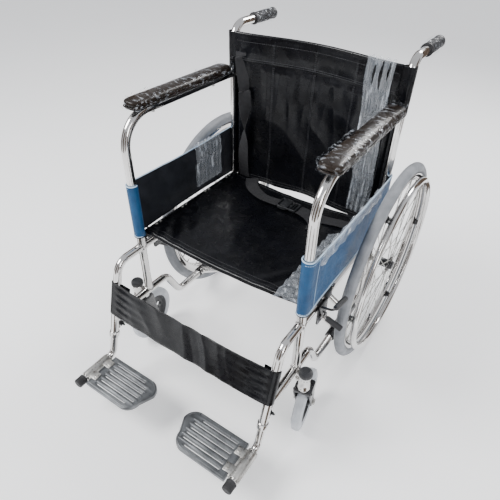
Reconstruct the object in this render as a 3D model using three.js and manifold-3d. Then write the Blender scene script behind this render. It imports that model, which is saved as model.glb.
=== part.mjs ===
// Folding manual wheelchair: two tubular side frames joined by a scissor brace, vinyl slings, 24 inch
// rear wheels with handrims, swivelling front casters, height-adjustable footrests and lever brakes.
// Millimetres. +X is the user's left, -Y is forward, +Z is up from the floor.
import * as THREE from "three";
import { mergeVertices } from "three/addons/utils/BufferGeometryUtils.js";
import Module from "manifold-3d";

const wasm = await Module();
wasm.setup();

// Clearance between pieces that touch.
const GAP = 0.3;
// Clearance in a bore that turns about a tube, so that the facets never meet.
const TURNING_GAP = 0.8;

// Side frames: upright tubes in a plane each side of the middle.
const TUBE_R = 11;
const FRAME_X = 245.6;
const POST_Y = 208;
const UPRIGHT_Y = POST_Y - 427;
const POST_BOTTOM_Z = 116;
const HANDLE_Z = 865;
const HANDLE_BEND = 42;
const HANDLE_LENGTH = 201;
const ARM_Z = 742;
const ARM_BEND = 80;
const RAIL_Z = 387;
const HANGER_Y = POST_Y - 512;
const HANGER_BEND = 40;
const HANGER_SLOPE = 0.28;
const HANGER_END_Z = 166;
const FRONT_RAIL_Z = 229;
const LOWER_RAIL_Z = 138;
const STEP_FRONT_Y = -148;
const STEP_REAR_Y = -101;
const STEP_BEND = 30;

// Grips and arm pads.
const GRIP_R = 15.5;
const GRIP_LENGTH = 108;
const PAD = { width: 54, thick: 24, front: UPRIGHT_Y + 24, rear: POST_Y - 34, corner: 20 };

// Scissor brace.
const SEAT_TUBE_X = 237;
const SEAT_TUBE_Z = 420;
const SEAT_TUBE_FRONT_Y = UPRIGHT_Y + TUBE_R + 11;
const SEAT_TUBE_REAR_Y = POST_Y - TUBE_R - 4;
const BRACE_R = 10;
const BRACE_Y = 75;
const BRACE_A_SPREAD = 65;
const BRACE_B_SPREAD = 39;
const SLEEVE_R = 14.5;
const SLEEVE_HALF = 80;
const PIVOT_R = 4;
const PIVOT_Z = LOWER_RAIL_Z + ((SEAT_TUBE_Z - LOWER_RAIL_Z) * FRAME_X) / (FRAME_X + SEAT_TUBE_X);

// Rear wheels.
const WHEEL_R = 301.6;
const WHEEL_X = 294;
const TYRE_HALF = 14;
const TYRE_SEAT_R = 274.5;
const RIM_HALF = 11;
const RIM_INNER_R = 252;
const HUB_HALF = 24;
const HUB_FLANGE_R = 24;
const SPOKES = 36;
const SPOKE_R = 1;
const SPOKE_OFFSET = 1.2;
const SPOKE_LEAN = Math.PI / 3.4;
const AXLE_R = 6;
const HANDRIM_X = 322;
const HANDRIM_R = 259;
const HANDRIM_TUBE_R = 9;
const HANDRIM_TABS = 6;
const WHEEL_SEGMENTS = 40;

// Casters: each swivels on a stem outboard of its front upright and trails behind it.
const CASTER_X = 280;
const CASTER_Y = UPRIGHT_Y - 11;
const CASTER_R = 85;
const CASTER_HALF = 14;
const CASTER_TRAIL = 38;
const CASTER_TURN = { right: 7, left: 11 };
const CROWN_Z = 2 * CASTER_R + 6;
const CROWN_THICK = 9;
const HOUSING_R = 15;
const HOUSING_TOP_Z = 238;
const STEM_R = 7;

// Footrests: an inner tube slides in each hanger and carries a plate that flips up.
const INNER_R = 9.5;
const INNER_TOP_Z = 262;
const PLATE_PIVOT_Z = 104;
const PIVOT_FRONT_Y = -500;
const TIP_FRONT_Y = -509.6;
const PLATE = { outer: 228, inner: 52, rear: -391, front: -495, thick: 12, corner: 34 };
const PLATE_SLOTS = 6;

// Soft goods, as plain solids.
const SEAT = { half: 226, thick: 4, sag: 14, top: SEAT_TUBE_Z + 17 };
const BACK = { bottom: 410, top: 850, thick: 6, bow: 22 };
const STRAP = { half: 258, height: 95, thick: 4, z: 283 };
const SIDE_PANEL = { thick: 2, bottom: 424, top: 576, front: UPRIGHT_Y - 14, rear: POST_Y - 16 };

// Brake: a clamp on the seat rail, a hand lever outboard of it and the bar that it presses on the tyre.
const BRAKE = {
  plateX: FRAME_X + TUBE_R + 1.5,
  plateThick: 4,
  linkThick: 5,
  pinR: 3,
  leverY: -150,
  leverZ: 368,
  shoeY: -128,
  shoeZ: 352,
  barY: -108,
  barZ: 312,
  gripX: 298,
};

const BELT = { y: 128, width: 38, thick: 1.5, left: 205, right: 40 };

const SIDES = [
  { name: "right", s: -1 },
  { name: "left", s: 1 },
];

function finish(color, roughness, metalness = 0) {
  return new THREE.MeshStandardMaterial({ color, roughness, metalness });
}

const MATERIALS = {
  chrome: finish(0xc9c9c6, 0.18, 1),
  zinc: finish(0xa9a9a6, 0.35, 1),
  castAluminium: finish(0x6d7076, 0.5, 0.8),
  blackPlastic: finish(0x17181a, 0.45),
  gripPlastic: finish(0x2a2b2c, 0.6),
  padVinyl: finish(0x241d19, 0.35),
  blackVinyl: finish(0x12131a, 0.3),
  bluePanel: finish(0x2b6aa3, 0.4),
  greyTyre: finish(0x8d9195, 0.7),
  casterTyre: finish(0xc4c6c8, 0.6),
  rubber: finish(0x1a1a1a, 0.8),
  webbing: finish(0x1b1b1d, 0.85),
};

const chair = new THREE.Group();

// A tube's run: straight legs, with a ring of vertices only where the tube starts, bends or ends.
class TubeRun extends THREE.Curve {
  constructor(stops) {
    super();
    this.stops = stops;
  }

  getPointAt(u, target = new THREE.Vector3()) {
    return target.copy(this.stops[Math.round(u * (this.stops.length - 1))]);
  }

  getTangentAt(u, target = new THREE.Vector3()) {
    const last = this.stops.length - 1;
    const here = Math.round(u * last);
    const before = this.stops[Math.max(here - 1, 0)];
    const after = this.stops[Math.min(here + 1, last)];
    return target.subVectors(after, before).normalize();
  }
}

// The stops along a run of corners [x, y, z, bend radius], with each bend turned in 20 degree steps.
function stopsAlong(corners) {
  const stops = [];
  corners.forEach(([x, y, z, bend], i) => {
    const corner = new THREE.Vector3(x, y, z);
    if (!bend) {
      stops.push(corner);
      return;
    }
    const back = new THREE.Vector3(...corners[i - 1].slice(0, 3)).sub(corner).normalize();
    const ahead = new THREE.Vector3(...corners[i + 1].slice(0, 3)).sub(corner).normalize();
    const half = back.angleTo(ahead) / 2;
    const centre = back.clone().add(ahead).setLength(bend / Math.sin(half)).add(corner);
    const arm = back.clone().multiplyScalar(bend / Math.tan(half)).add(corner).sub(centre);
    const end = ahead.clone().multiplyScalar(bend / Math.tan(half)).add(corner).sub(centre);
    const axis = arm.clone().cross(end).normalize();
    const turn = arm.angleTo(end);
    const steps = Math.ceil(turn / (Math.PI / 9));
    for (let k = 0; k <= steps; k += 1) {
      stops.push(arm.clone().applyAxisAngle(axis, (turn * k) / steps).add(centre));
    }
  });
  return stops;
}

function tube(corners, radius, sides = 12) {
  const stops = stopsAlong(corners);
  const section = new THREE.Shape().absarc(0, 0, radius, 0, 2 * Math.PI);
  const options = { steps: stops.length - 1, curveSegments: sides / 2, extrudePath: new TubeRun(stops) };
  return solid(new THREE.ExtrudeGeometry(section, options));
}

function rod(from, to, radius, sides = 12) {
  return tube([from, to], radius, sides);
}

// A rod along Y at (x, z), and one along X at (y, z).
function rodAlongY(x, z, front, rear, radius, sides) {
  return rod([x, front, z], [x, rear, z], radius, sides);
}

function rodAlongX(y, z, near, far, radius, sides) {
  return rod([near, y, z], [far, y, z], radius, sides);
}

// A closed ring or turned solid about the X axis through (y, z): profile points are [radius, outboard x].
function turned(profile, s, x, y, z, segments) {
  const points = profile.map(([r, out]) => new THREE.Vector2(r, out));
  const geometry = new THREE.LatheGeometry(points, segments);
  geometry.rotateZ((-s * Math.PI) / 2);
  geometry.translate(s * x, y, z);
  return solid(geometry);
}

// A turned solid about a vertical axis through (x, y): profile points are [radius, z].
function turnedUpright(profile, x, y, segments = 20) {
  const geometry = new THREE.LatheGeometry(profile.map(([r, z]) => new THREE.Vector2(r, z)), segments);
  geometry.rotateX(Math.PI / 2);
  geometry.translate(x, y, 0);
  return solid(geometry);
}

function box(lowX, highX, lowY, highY, lowZ, highZ) {
  const geometry = new THREE.BoxGeometry(Math.abs(highX - lowX), highY - lowY, highZ - lowZ);
  geometry.translate((lowX + highX) / 2, (lowY + highY) / 2, (lowZ + highZ) / 2);
  return solid(geometry);
}

// A flat shape drawn in X and Y, raised from low to high in Z.
function slab(shape, low, high, curveSegments = 5) {
  const options = { depth: high - low, bevelEnabled: false, curveSegments };
  const geometry = new THREE.ExtrudeGeometry(shape, options);
  geometry.translate(0, 0, low);
  return solid(geometry);
}

// A shape drawn as (y, z), with its thickness along X from near to far.
function plateAcross(shape, near, far, curveSegments = 3) {
  const options = { depth: far - near, bevelEnabled: false, curveSegments };
  const geometry = new THREE.ExtrudeGeometry(shape, options);
  geometry.rotateX(Math.PI / 2);
  geometry.rotateZ(Math.PI / 2);
  geometry.translate(near, 0, 0);
  return solid(geometry);
}

// Welds a geometry's vertices and makes it a solid that faces outwards.
function solid(geometry) {
  const bare = geometry.clone();
  bare.deleteAttribute("normal");
  bare.deleteAttribute("uv");
  const welded = mergeVertices(bare, 1e-4);
  const corners = [];
  for (let i = 0; i < welded.index.count; i += 3) {
    const [a, b, c] = [0, 1, 2].map((k) => welded.index.getX(i + k));
    if (a !== b && b !== c && c !== a) {
      corners.push(a, b, c);
    }
  }
  const vertProperties = new Float32Array(welded.attributes.position.array);
  const mesh = new wasm.Mesh({ numProp: 3, vertProperties, triVerts: new Uint32Array(corners) });
  const made = new wasm.Manifold(mesh);
  if (made.volume() > 0) {
    return made;
  }
  const flipped = new Uint32Array(corners).reverse();
  return new wasm.Manifold(new wasm.Mesh({ numProp: 3, vertProperties, triVerts: flipped }));
}

function add(name, shape, material) {
  const { vertProperties, triVerts } = shape.getMesh();
  const geometry = new THREE.BufferGeometry();
  geometry.setAttribute("position", new THREE.BufferAttribute(vertProperties, 3));
  geometry.setIndex(new THREE.BufferAttribute(triVerts, 1));
  geometry.computeVertexNormals();
  const mesh = new THREE.Mesh(geometry, material);
  mesh.name = name;
  chair.add(mesh);
}

function postTool(x) {
  return rod([x, POST_Y, 0], [x, POST_Y, HANDLE_Z], TUBE_R + GAP);
}

function uprightTool(x) {
  return rod([x, UPRIGHT_Y, FRONT_RAIL_Z], [x, UPRIGHT_Y, ARM_Z - ARM_BEND], TUBE_R + GAP);
}

// The point on the sloping part of a hanger at a height.
function hangerY(z) {
  return HANGER_Y - HANGER_SLOPE * (RAIL_Z - z);
}

function rearPost(x) {
  const run = [
    [x, POST_Y, POST_BOTTOM_Z],
    [x, POST_Y, HANDLE_Z, HANDLE_BEND],
    [x, POST_Y + HANDLE_LENGTH - 4 - GAP, HANDLE_Z],
  ];
  const axleHole = rod([x - 30, POST_Y, WHEEL_R], [x + 30, POST_Y, WHEEL_R], AXLE_R + GAP);
  return tube(run, TUBE_R).subtract(axleHole);
}

function armTube(x) {
  const run = [
    [x, POST_Y, ARM_Z],
    [x, UPRIGHT_Y, ARM_Z, ARM_BEND],
    [x, UPRIGHT_Y, FRONT_RAIL_Z],
  ];
  const railTool = rod([x, UPRIGHT_Y - 40, FRONT_RAIL_Z], [x, UPRIGHT_Y + 40, FRONT_RAIL_Z], TUBE_R + GAP);
  return tube(run, TUBE_R).subtract(postTool(x)).subtract(railTool);
}

function seatRail(x) {
  const bar = rod([x, POST_Y, RAIL_Z], [x, UPRIGHT_Y, RAIL_Z], TUBE_R);
  return bar.subtract(postTool(x)).subtract(uprightTool(x));
}

// The hanger leaves the front upright, bends down and is bored for the footrest's inner tube. The
// lower rail runs back from it, steps down and ends at the rear post.
function lowerFrame(x) {
  const hanger = tube(
    [
      [x, UPRIGHT_Y, RAIL_Z],
      [x, HANGER_Y, RAIL_Z, HANGER_BEND],
      [x, hangerY(HANGER_END_Z), HANGER_END_Z],
    ],
    TUBE_R,
  );
  const rail = tube(
    [
      [x, hangerY(FRONT_RAIL_Z), FRONT_RAIL_Z],
      [x, STEP_FRONT_Y, FRONT_RAIL_Z, STEP_BEND],
      [x, STEP_REAR_Y, LOWER_RAIL_Z, STEP_BEND],
      [x, POST_Y, LOWER_RAIL_Z],
    ],
    TUBE_R,
  );
  const boreTop = INNER_TOP_Z + 40;
  const bore = rod([x, hangerY(boreTop), boreTop], [x, hangerY(100), 100], INNER_R + GAP);
  const boltHole = rod([x, hangerY(190), 190], [x, hangerY(190) + 40, 190], PIVOT_R + GAP);
  return hanger.add(rail).subtract(uprightTool(x)).subtract(postTool(x)).subtract(bore).subtract(boltHole);
}

function pushGrip(x) {
  const start = POST_Y + HANDLE_LENGTH - GRIP_LENGTH;
  const body = rod([x, start, HANDLE_Z], [x, POST_Y + HANDLE_LENGTH, HANDLE_Z], GRIP_R, 16);
  return body.subtract(
    rod([x, start - 5, HANDLE_Z], [x, POST_Y + HANDLE_LENGTH - 4, HANDLE_Z], TUBE_R + GAP),
  );
}

function roundedRectangle(lowX, lowY, highX, highY, radius) {
  const shape = new THREE.Shape();
  shape.absarc(lowX + radius, lowY + radius, radius, Math.PI, 1.5 * Math.PI);
  shape.absarc(highX - radius, lowY + radius, radius, 1.5 * Math.PI, 2 * Math.PI);
  shape.absarc(highX - radius, highY - radius, radius, 0, 0.5 * Math.PI);
  shape.absarc(lowX + radius, highY - radius, radius, 0.5 * Math.PI, Math.PI);
  return shape;
}

function armPad(x) {
  const half = PAD.width / 2;
  const outline = roundedRectangle(x - half, PAD.front, x + half, PAD.rear, PAD.corner);
  const low = ARM_Z + TUBE_R + GAP;
  return slab(outline, low, low + PAD.thick, 3);
}

function sidePanel(s) {
  const { thick, front, rear, bottom, top } = SIDE_PANEL;
  const outline = roundedRectangle(front, bottom, rear, top, 14);
  const near = FRAME_X + TUBE_R + 2;
  return mirrored(plateAcross(outline, near, near + thick), s);
}

// One half of the scissor: a sleeve round the lower rail on side s, two struts rising to the other
// side, and the seat tube that they carry there.
function brace(s, spread) {
  const lowX = s * FRAME_X;
  const highX = -s * SEAT_TUBE_X;
  let half = rodAlongY(lowX, LOWER_RAIL_Z, BRACE_Y - SLEEVE_HALF, BRACE_Y + SLEEVE_HALF, SLEEVE_R);
  for (const y of [BRACE_Y - spread, BRACE_Y + spread]) {
    half = half.add(rod([lowX, y, LOWER_RAIL_Z], [highX, y, SEAT_TUBE_Z], BRACE_R));
  }
  half = half.add(rodAlongY(highX, SEAT_TUBE_Z, SEAT_TUBE_FRONT_Y, SEAT_TUBE_REAR_Y, TUBE_R));
  const railTool = rodAlongY(lowX, LOWER_RAIL_Z, -200, 300, TUBE_R + 2 * GAP);
  const pivotTool = rodAlongY(0, PIVOT_Z, -200, 300, PIVOT_R + GAP);
  return half.subtract(railTool).subtract(pivotTool);
}

function braceBolt() {
  const end = BRACE_A_SPREAD + BRACE_R + GAP;
  const head = 6;
  return rod([0, BRACE_Y - end - head, PIVOT_Z], [0, BRACE_Y + end + head, PIVOT_Z], PIVOT_R)
    .add(rod([0, BRACE_Y - end - head, PIVOT_Z], [0, BRACE_Y - end, PIVOT_Z], 9, 6))
    .add(rod([0, BRACE_Y + end, PIVOT_Z], [0, BRACE_Y + end + head, PIVOT_Z], 9, 6));
}

function rearTyre(s) {
  const profile = [
    [WHEEL_R, 0],
    [WHEEL_R - 4, 9],
    [WHEEL_R - 13, TYRE_HALF],
    [TYRE_SEAT_R + 5, TYRE_HALF - 1],
    [TYRE_SEAT_R, 9],
    [TYRE_SEAT_R, -9],
    [TYRE_SEAT_R + 5, 1 - TYRE_HALF],
    [WHEEL_R - 13, -TYRE_HALF],
    [WHEEL_R - 4, -9],
    [WHEEL_R, 0],
  ];
  return turned(profile, s, WHEEL_X, POST_Y, WHEEL_R, WHEEL_SEGMENTS);
}

function rearRim(s) {
  const outer = TYRE_SEAT_R - 2 * GAP;
  const profile = [
    [outer, RIM_HALF],
    [outer - 12, RIM_HALF],
    [RIM_INNER_R, 5],
    [RIM_INNER_R, -5],
    [outer - 12, -RIM_HALF],
    [outer, -RIM_HALF],
    [outer, RIM_HALF],
  ];
  return turned(profile, s, WHEEL_X, POST_Y, WHEEL_R, WHEEL_SEGMENTS);
}

// The hub with its wire spokes: they leave the two flanges in turn, in crossing pairs.
function rearHub(s) {
  const flange = HUB_HALF - 7;
  const profile = [
    [AXLE_R + GAP, -HUB_HALF],
    [15, -HUB_HALF],
    [15, -flange - 3],
    [HUB_FLANGE_R, -flange - 3],
    [HUB_FLANGE_R, -flange + 1],
    [13, -flange + 4],
    [13, flange - 4],
    [HUB_FLANGE_R, flange - 1],
    [HUB_FLANGE_R, flange + 3],
    [15, flange + 3],
    [15, HUB_HALF],
    [AXLE_R + GAP, HUB_HALF],
    [AXLE_R + GAP, -HUB_HALF],
  ];
  let hub = turned(profile, s, WHEEL_X, POST_Y, WHEEL_R, 20);
  for (let k = 0; k < SPOKES; k += 1) {
    const side = k % 2 ? 1 : -1;
    const way = k % 4 < 2 ? 1 : -1;
    const rimAngle = (2 * Math.PI * (k + 0.5)) / SPOKES;
    const hubAngle = rimAngle + way * SPOKE_LEAN;
    const hubEnd = [
      s * (WHEEL_X + side * (flange + 1) + way * SPOKE_OFFSET),
      POST_Y + (HUB_FLANGE_R - 4) * Math.sin(hubAngle),
      WHEEL_R + (HUB_FLANGE_R - 4) * Math.cos(hubAngle),
    ];
    const rimReach = RIM_INNER_R - 2;
    const rimEnd = [
      s * (WHEEL_X + side * 2.6 + way * SPOKE_OFFSET),
      POST_Y + rimReach * Math.sin(rimAngle),
      WHEEL_R + rimReach * Math.cos(rimAngle),
    ];
    hub = hub.add(rod(hubEnd, rimEnd, SPOKE_R, 4));
  }
  return hub;
}

function rearAxle(s) {
  const inner = s * (FRAME_X - TUBE_R - 9);
  const outer = s * (WHEEL_X + HUB_HALF + 6);
  const head = s * (FRAME_X - TUBE_R - 1);
  const cap = s * (WHEEL_X + HUB_HALF + GAP);
  return rod([inner, POST_Y, WHEEL_R], [outer, POST_Y, WHEEL_R], AXLE_R)
    .add(rod([inner, POST_Y, WHEEL_R], [head, POST_Y, WHEEL_R], 11, 6))
    .add(rod([cap, POST_Y, WHEEL_R], [outer, POST_Y, WHEEL_R], 13));
}

// The handrim: a tube ring held off the rim by small tabs.
function handrim(s) {
  const around = [];
  for (let k = 0; k <= 8; k += 1) {
    const angle = (k * Math.PI) / 4;
    around.push([HANDRIM_R + HANDRIM_TUBE_R * Math.cos(angle), HANDRIM_TUBE_R * Math.sin(angle)]);
  }
  let ring = turned(around, s, HANDRIM_X, POST_Y, WHEEL_R, WHEEL_SEGMENTS);
  for (let k = 0; k < HANDRIM_TABS; k += 1) {
    const angle = (2 * Math.PI * (k + 0.5)) / HANDRIM_TABS;
    const tab = box(WHEEL_X + RIM_HALF + GAP, HANDRIM_X - 4, -7, 7, HANDRIM_R + 3, HANDRIM_R + 9);
    const placed = tab.rotate([(-angle * 180) / Math.PI, 0, 0]).translate([0, POST_Y, WHEEL_R]);
    ring = ring.add(mirrored(placed, s));
  }
  return ring;
}

function casterHousing(s) {
  const x = s * CASTER_X;
  const low = CROWN_Z + CROWN_THICK + 1.5;
  const shell = rod([x, CASTER_Y, low], [x, CASTER_Y, HOUSING_TOP_Z], HOUSING_R, 20);
  const web = box(s * FRAME_X, x, UPRIGHT_Y - 12, UPRIGHT_Y + 4, low + 4, HOUSING_TOP_Z - 20);
  const stemTool = rod([x, CASTER_Y, 0], [x, CASTER_Y, HOUSING_TOP_Z - 5], STEM_R + GAP);
  const tubeTool = rod([s * FRAME_X, UPRIGHT_Y, 0], [s * FRAME_X, UPRIGHT_Y, 300], TUBE_R + GAP);
  const railTool = box(0, s * (FRAME_X + TUBE_R + GAP), -400, 0, 0, 400);
  return shell.add(web).subtract(tubeTool).subtract(railTool).subtract(stemTool);
}

function casterCap(s) {
  const low = HOUSING_TOP_Z + GAP;
  const profile = [
    [0, low],
    [HOUSING_R + 2.5, low],
    [HOUSING_R + 2.5, low + 9],
    [HOUSING_R - 2, low + 15],
    [0, low + 16],
  ];
  return turnedUpright(profile, s * CASTER_X, CASTER_Y);
}

// Caster pieces are made trailing straight back from the stem, then turned about it.
function turnedCaster(shape, side) {
  return shape
    .rotate([0, 0, CASTER_TURN[side.name]])
    .translate([side.s * CASTER_X, CASTER_Y, 0]);
}

function casterFork() {
  const armX = CASTER_HALF + 4;
  const armThick = 5;
  const reach = armX + armThick;
  const crown = box(-reach, reach, -14, CASTER_TRAIL - 4, CROWN_Z, CROWN_Z + CROWN_THICK);
  const arm = new THREE.Shape();
  arm.moveTo(-14, CROWN_Z + CROWN_THICK);
  arm.lineTo(CASTER_TRAIL - 12, CASTER_R - 2);
  arm.absarc(CASTER_TRAIL, CASTER_R, 12, Math.PI, 2 * Math.PI);
  arm.lineTo(CASTER_TRAIL - 4, CROWN_Z + CROWN_THICK);
  const stemTop = HOUSING_TOP_Z - 5 - GAP;
  let fork = crown.add(rod([0, 0, CROWN_Z], [0, 0, stemTop], STEM_R));
  fork = fork.add(plateAcross(arm, armX, armX + armThick)).add(plateAcross(arm, -armX - armThick, -armX));
  const axleTool = rod([-60, CASTER_TRAIL, CASTER_R], [60, CASTER_TRAIL, CASTER_R], 4 + GAP);
  return fork.subtract(axleTool);
}

function casterAxle() {
  const end = CASTER_HALF + 9 + GAP;
  return rod([-end - 5, CASTER_TRAIL, CASTER_R], [end + 5, CASTER_TRAIL, CASTER_R], 4)
    .add(rod([-end - 5, CASTER_TRAIL, CASTER_R], [-end, CASTER_TRAIL, CASTER_R], 8, 6))
    .add(rod([end, CASTER_TRAIL, CASTER_R], [end + 5, CASTER_TRAIL, CASTER_R], 8, 6));
}

// The caster's black wheel: rim, web with round holes, and hub.
function casterHub() {
  const rim = CASTER_R - 24;
  const profile = [
    [4 + GAP, -CASTER_HALF - 2],
    [14, -CASTER_HALF - 2],
    [14, -4],
    [rim - 8, -4],
    [rim - 3, -11],
    [rim, -11],
    [rim, 11],
    [rim - 3, 11],
    [rim - 8, 4],
    [14, 4],
    [14, CASTER_HALF + 2],
    [4 + GAP, CASTER_HALF + 2],
    [4 + GAP, -CASTER_HALF - 2],
  ];
  let wheel = turned(profile, 1, 0, CASTER_TRAIL, CASTER_R, 28);
  for (let k = 0; k < 5; k += 1) {
    const angle = (2 * Math.PI * k) / 5;
    const y = CASTER_TRAIL + 33 * Math.sin(angle);
    const z = CASTER_R + 33 * Math.cos(angle);
    wheel = wheel.subtract(rod([-20, y, z], [20, y, z], 12, 8));
  }
  return wheel;
}

function casterTyre() {
  const seat = CASTER_R - 24 + GAP;
  const profile = [
    [CASTER_R, 4],
    [CASTER_R - 5, 11],
    [CASTER_R - 14, CASTER_HALF],
    [seat, 11.5],
    [seat, -11.5],
    [CASTER_R - 14, -CASTER_HALF],
    [CASTER_R - 5, -11],
    [CASTER_R, -4],
    [CASTER_R, 4],
  ];
  return turned(profile, 1, 0, CASTER_TRAIL, CASTER_R, 28);
}

function mirrored(shape, s) {
  return s > 0 ? shape : shape.mirror([1, 0, 0]);
}

function brakeBracket(s) {
  const { plateX, plateThick, pinR } = BRAKE;
  const plate = box(plateX, plateX + plateThick, -164, -114, 340, RAIL_Z + 10);
  const clamp = box(FRAME_X - 15, plateX + plateThick, -156, -128, RAIL_Z - 15, RAIL_Z + 15);
  const railTool = rod([FRAME_X, -200, RAIL_Z], [FRAME_X, 0, RAIL_Z], TUBE_R + GAP);
  const leverTool = rodAlongX(BRAKE.leverY, BRAKE.leverZ, FRAME_X, 300, pinR + GAP);
  const shoeTool = rodAlongX(BRAKE.shoeY, BRAKE.shoeZ, FRAME_X, 300, pinR + GAP);
  return mirrored(plate.add(clamp).subtract(railTool).subtract(leverTool).subtract(shoeTool), s);
}

// A link's pin in the bracket and the boss on it, at (y, z).
function brakeLink(y, z, bossR) {
  const near = BRAKE.plateX + BRAKE.plateThick + GAP;
  const pin = rod([BRAKE.plateX + 1, y, z], [near + 1, y, z], BRAKE.pinR);
  return pin.add(rod([near, y, z], [near + BRAKE.linkThick, y, z], bossR));
}

function brakeLever(s) {
  const { leverY, leverZ, gripX } = BRAKE;
  const armX = BRAKE.plateX + BRAKE.plateThick + GAP + BRAKE.linkThick / 2 + 0.5;
  const arm = tube(
    [
      [armX, leverY, leverZ],
      [armX + 3, leverY - 22, leverZ + 48, 9],
      [gripX, leverY - 20, leverZ + 52, 9],
      [gripX, leverY + 48, leverZ + 34],
    ],
    2.8,
    8,
  );
  const grip = rod([gripX, leverY - 8, leverZ + 48.8], [gripX, leverY + 52, leverZ + 33], 7);
  return mirrored(brakeLink(leverY, leverZ, 9).add(arm).add(grip), s);
}

function brakeShoe(s) {
  const { shoeY, shoeZ, barY, barZ } = BRAKE;
  const near = BRAKE.plateX + BRAKE.plateThick + GAP;
  const arm = rod([near + 2.5, shoeY, shoeZ], [near + 2.5, barY, barZ], 2.4, 8);
  const bar = rod([near, barY, barZ + 8], [WHEEL_X + 13, barY, barZ - 6], 8);
  return mirrored(brakeLink(shoeY, shoeZ, 7).add(arm).add(bar), s);
}

// The footrest's inner tube: down inside the hanger, then forward as the plate's pivot.
function footrestTube(x) {
  return tube(
    [
      [x, hangerY(INNER_TOP_Z), INNER_TOP_Z],
      [x, hangerY(PLATE_PIVOT_Z), PLATE_PIVOT_Z, 26],
      [x, PIVOT_FRONT_Y, PLATE_PIVOT_Z],
    ],
    INNER_R,
  );
}

function footrestTip(x) {
  const body = rod([x, TIP_FRONT_Y, PLATE_PIVOT_Z], [x, TIP_FRONT_Y + 24, PLATE_PIVOT_Z], INNER_R + 3.5);
  return body.subtract(
    rod([x, PIVOT_FRONT_Y - GAP, PLATE_PIVOT_Z], [x, -400, PLATE_PIVOT_Z], INNER_R + GAP),
  );
}

function wingBolt(x) {
  const y = hangerY(190);
  const seat = y + INNER_R + 2.2;
  return rod([x, seat, 190], [x, y + 30, 190], PIVOT_R, 8)
    .add(rod([x, y + TUBE_R + 3, 190], [x, y + 26, 190], 8))
    .add(box(x - 17, x + 17, y + 20, y + 25, 184, 196));
}

// The plate: a rounded D with slots across it, lying level inboard of its pivot.
function footplate(s) {
  const { outer, inner, rear, front, thick, corner } = PLATE;
  const outline = new THREE.Shape();
  outline.moveTo(outer, rear);
  outline.lineTo(outer, front);
  outline.lineTo(inner + corner + 30, front);
  outline.absarc(inner + corner + 16, front + corner, corner, 1.5 * Math.PI, Math.PI, true);
  outline.absarc(inner + corner, rear - corner, corner, Math.PI, 0.5 * Math.PI, true);
  const pitch = (rear - front - 16) / PLATE_SLOTS;
  for (let k = 0; k < PLATE_SLOTS; k += 1) {
    const y = front + 8 + pitch * (k + 0.5);
    const ends = k === 0 || k === PLATE_SLOTS - 1 ? inner + corner + 12 : inner + 30;
    outline.holes.push(roundedRectangle(ends, y - 3.5, outer - 22, y + 3.5, 3.4));
  }
  const low = PLATE_PIVOT_Z - thick / 2;
  const made = slab(outline, low, low + thick, 2);
  return mirrored(made, s);
}

function plateHinge(s) {
  const low = PLATE.front + 14;
  const high = PLATE.rear - 14;
  const sleeve = rodAlongY(FRAME_X, PLATE_PIVOT_Z, low, high, INNER_R + 4);
  const edge = box(PLATE.outer + GAP, FRAME_X, low, high, PLATE_PIVOT_Z - 6, PLATE_PIVOT_Z + 6);
  const pivotTool = rodAlongY(FRAME_X, PLATE_PIVOT_Z, -600, -300, INNER_R + TURNING_GAP);
  const made = sleeve.add(edge).subtract(pivotTool);
  return mirrored(made, s);
}

// The seat: a sling between the seat tubes, sagging a little in the middle.
function seatSling() {
  const shape = new THREE.Shape();
  const across = 8;
  for (let k = 0; k <= across; k += 1) {
    const u = (2 * k) / across - 1;
    const z = SEAT.top - SEAT.sag * (1 - u * u);
    shape[k ? "lineTo" : "moveTo"](u * SEAT.half, z);
  }
  for (let k = across; k >= 0; k -= 1) {
    const u = (2 * k) / across - 1;
    shape.lineTo(u * SEAT.half, SEAT.top - SEAT.thick - SEAT.sag * (1 - u * u));
  }
  const geometry = new THREE.ExtrudeGeometry(shape, {
    depth: SEAT_TUBE_REAR_Y - UPRIGHT_Y - 16,
    bevelEnabled: false,
  });
  geometry.rotateX(Math.PI / 2);
  geometry.translate(0, SEAT_TUBE_REAR_Y, 0);
  return solid(geometry);
}

// The back: a sling between the rear posts, bowed rearwards in the middle.
function backSling() {
  const shape = new THREE.Shape();
  const across = 8;
  const half = FRAME_X - TUBE_R - 1;
  for (let k = 0; k <= across; k += 1) {
    const u = (2 * k) / across - 1;
    shape[k ? "lineTo" : "moveTo"](u * half, POST_Y - 4 + BACK.bow * (1 - u * u));
  }
  for (let k = across; k >= 0; k -= 1) {
    const u = (2 * k) / across - 1;
    shape.lineTo(u * half, POST_Y - 4 + BACK.thick + BACK.bow * (1 - u * u));
  }
  return slab(shape, BACK.bottom, BACK.top);
}

function calfStrap() {
  const slope = Math.atan(HANGER_SLOPE) * (180 / Math.PI);
  const near = TUBE_R + GAP;
  return box(-STRAP.half, STRAP.half, -near - STRAP.thick, -near, -STRAP.height / 2, STRAP.height / 2)
    .rotate([-slope, 0, 0])
    .translate([0, hangerY(STRAP.z), STRAP.z]);
}

function seatTopZ(x) {
  return SEAT.top - SEAT.sag * (1 - (x / SEAT.half) ** 2);
}

// The lap belt's loose half lies across the rear of the seat and ends in the buckle.
function lapBelt() {
  const shape = new THREE.Shape();
  const across = 5;
  const lift = 1.2;
  for (let k = 0; k <= across; k += 1) {
    const x = BELT.right + ((BELT.left - BELT.right) * k) / across;
    shape[k ? "lineTo" : "moveTo"](x, seatTopZ(x) + lift);
  }
  for (let k = across; k >= 0; k -= 1) {
    const x = BELT.right + ((BELT.left - BELT.right) * k) / across;
    shape.lineTo(x, seatTopZ(x) + lift + BELT.thick);
  }
  const geometry = new THREE.ExtrudeGeometry(shape, { depth: BELT.width, bevelEnabled: false });
  geometry.rotateX(Math.PI / 2);
  geometry.translate(0, BELT.y + BELT.width / 2, 0);
  return solid(geometry);
}

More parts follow.
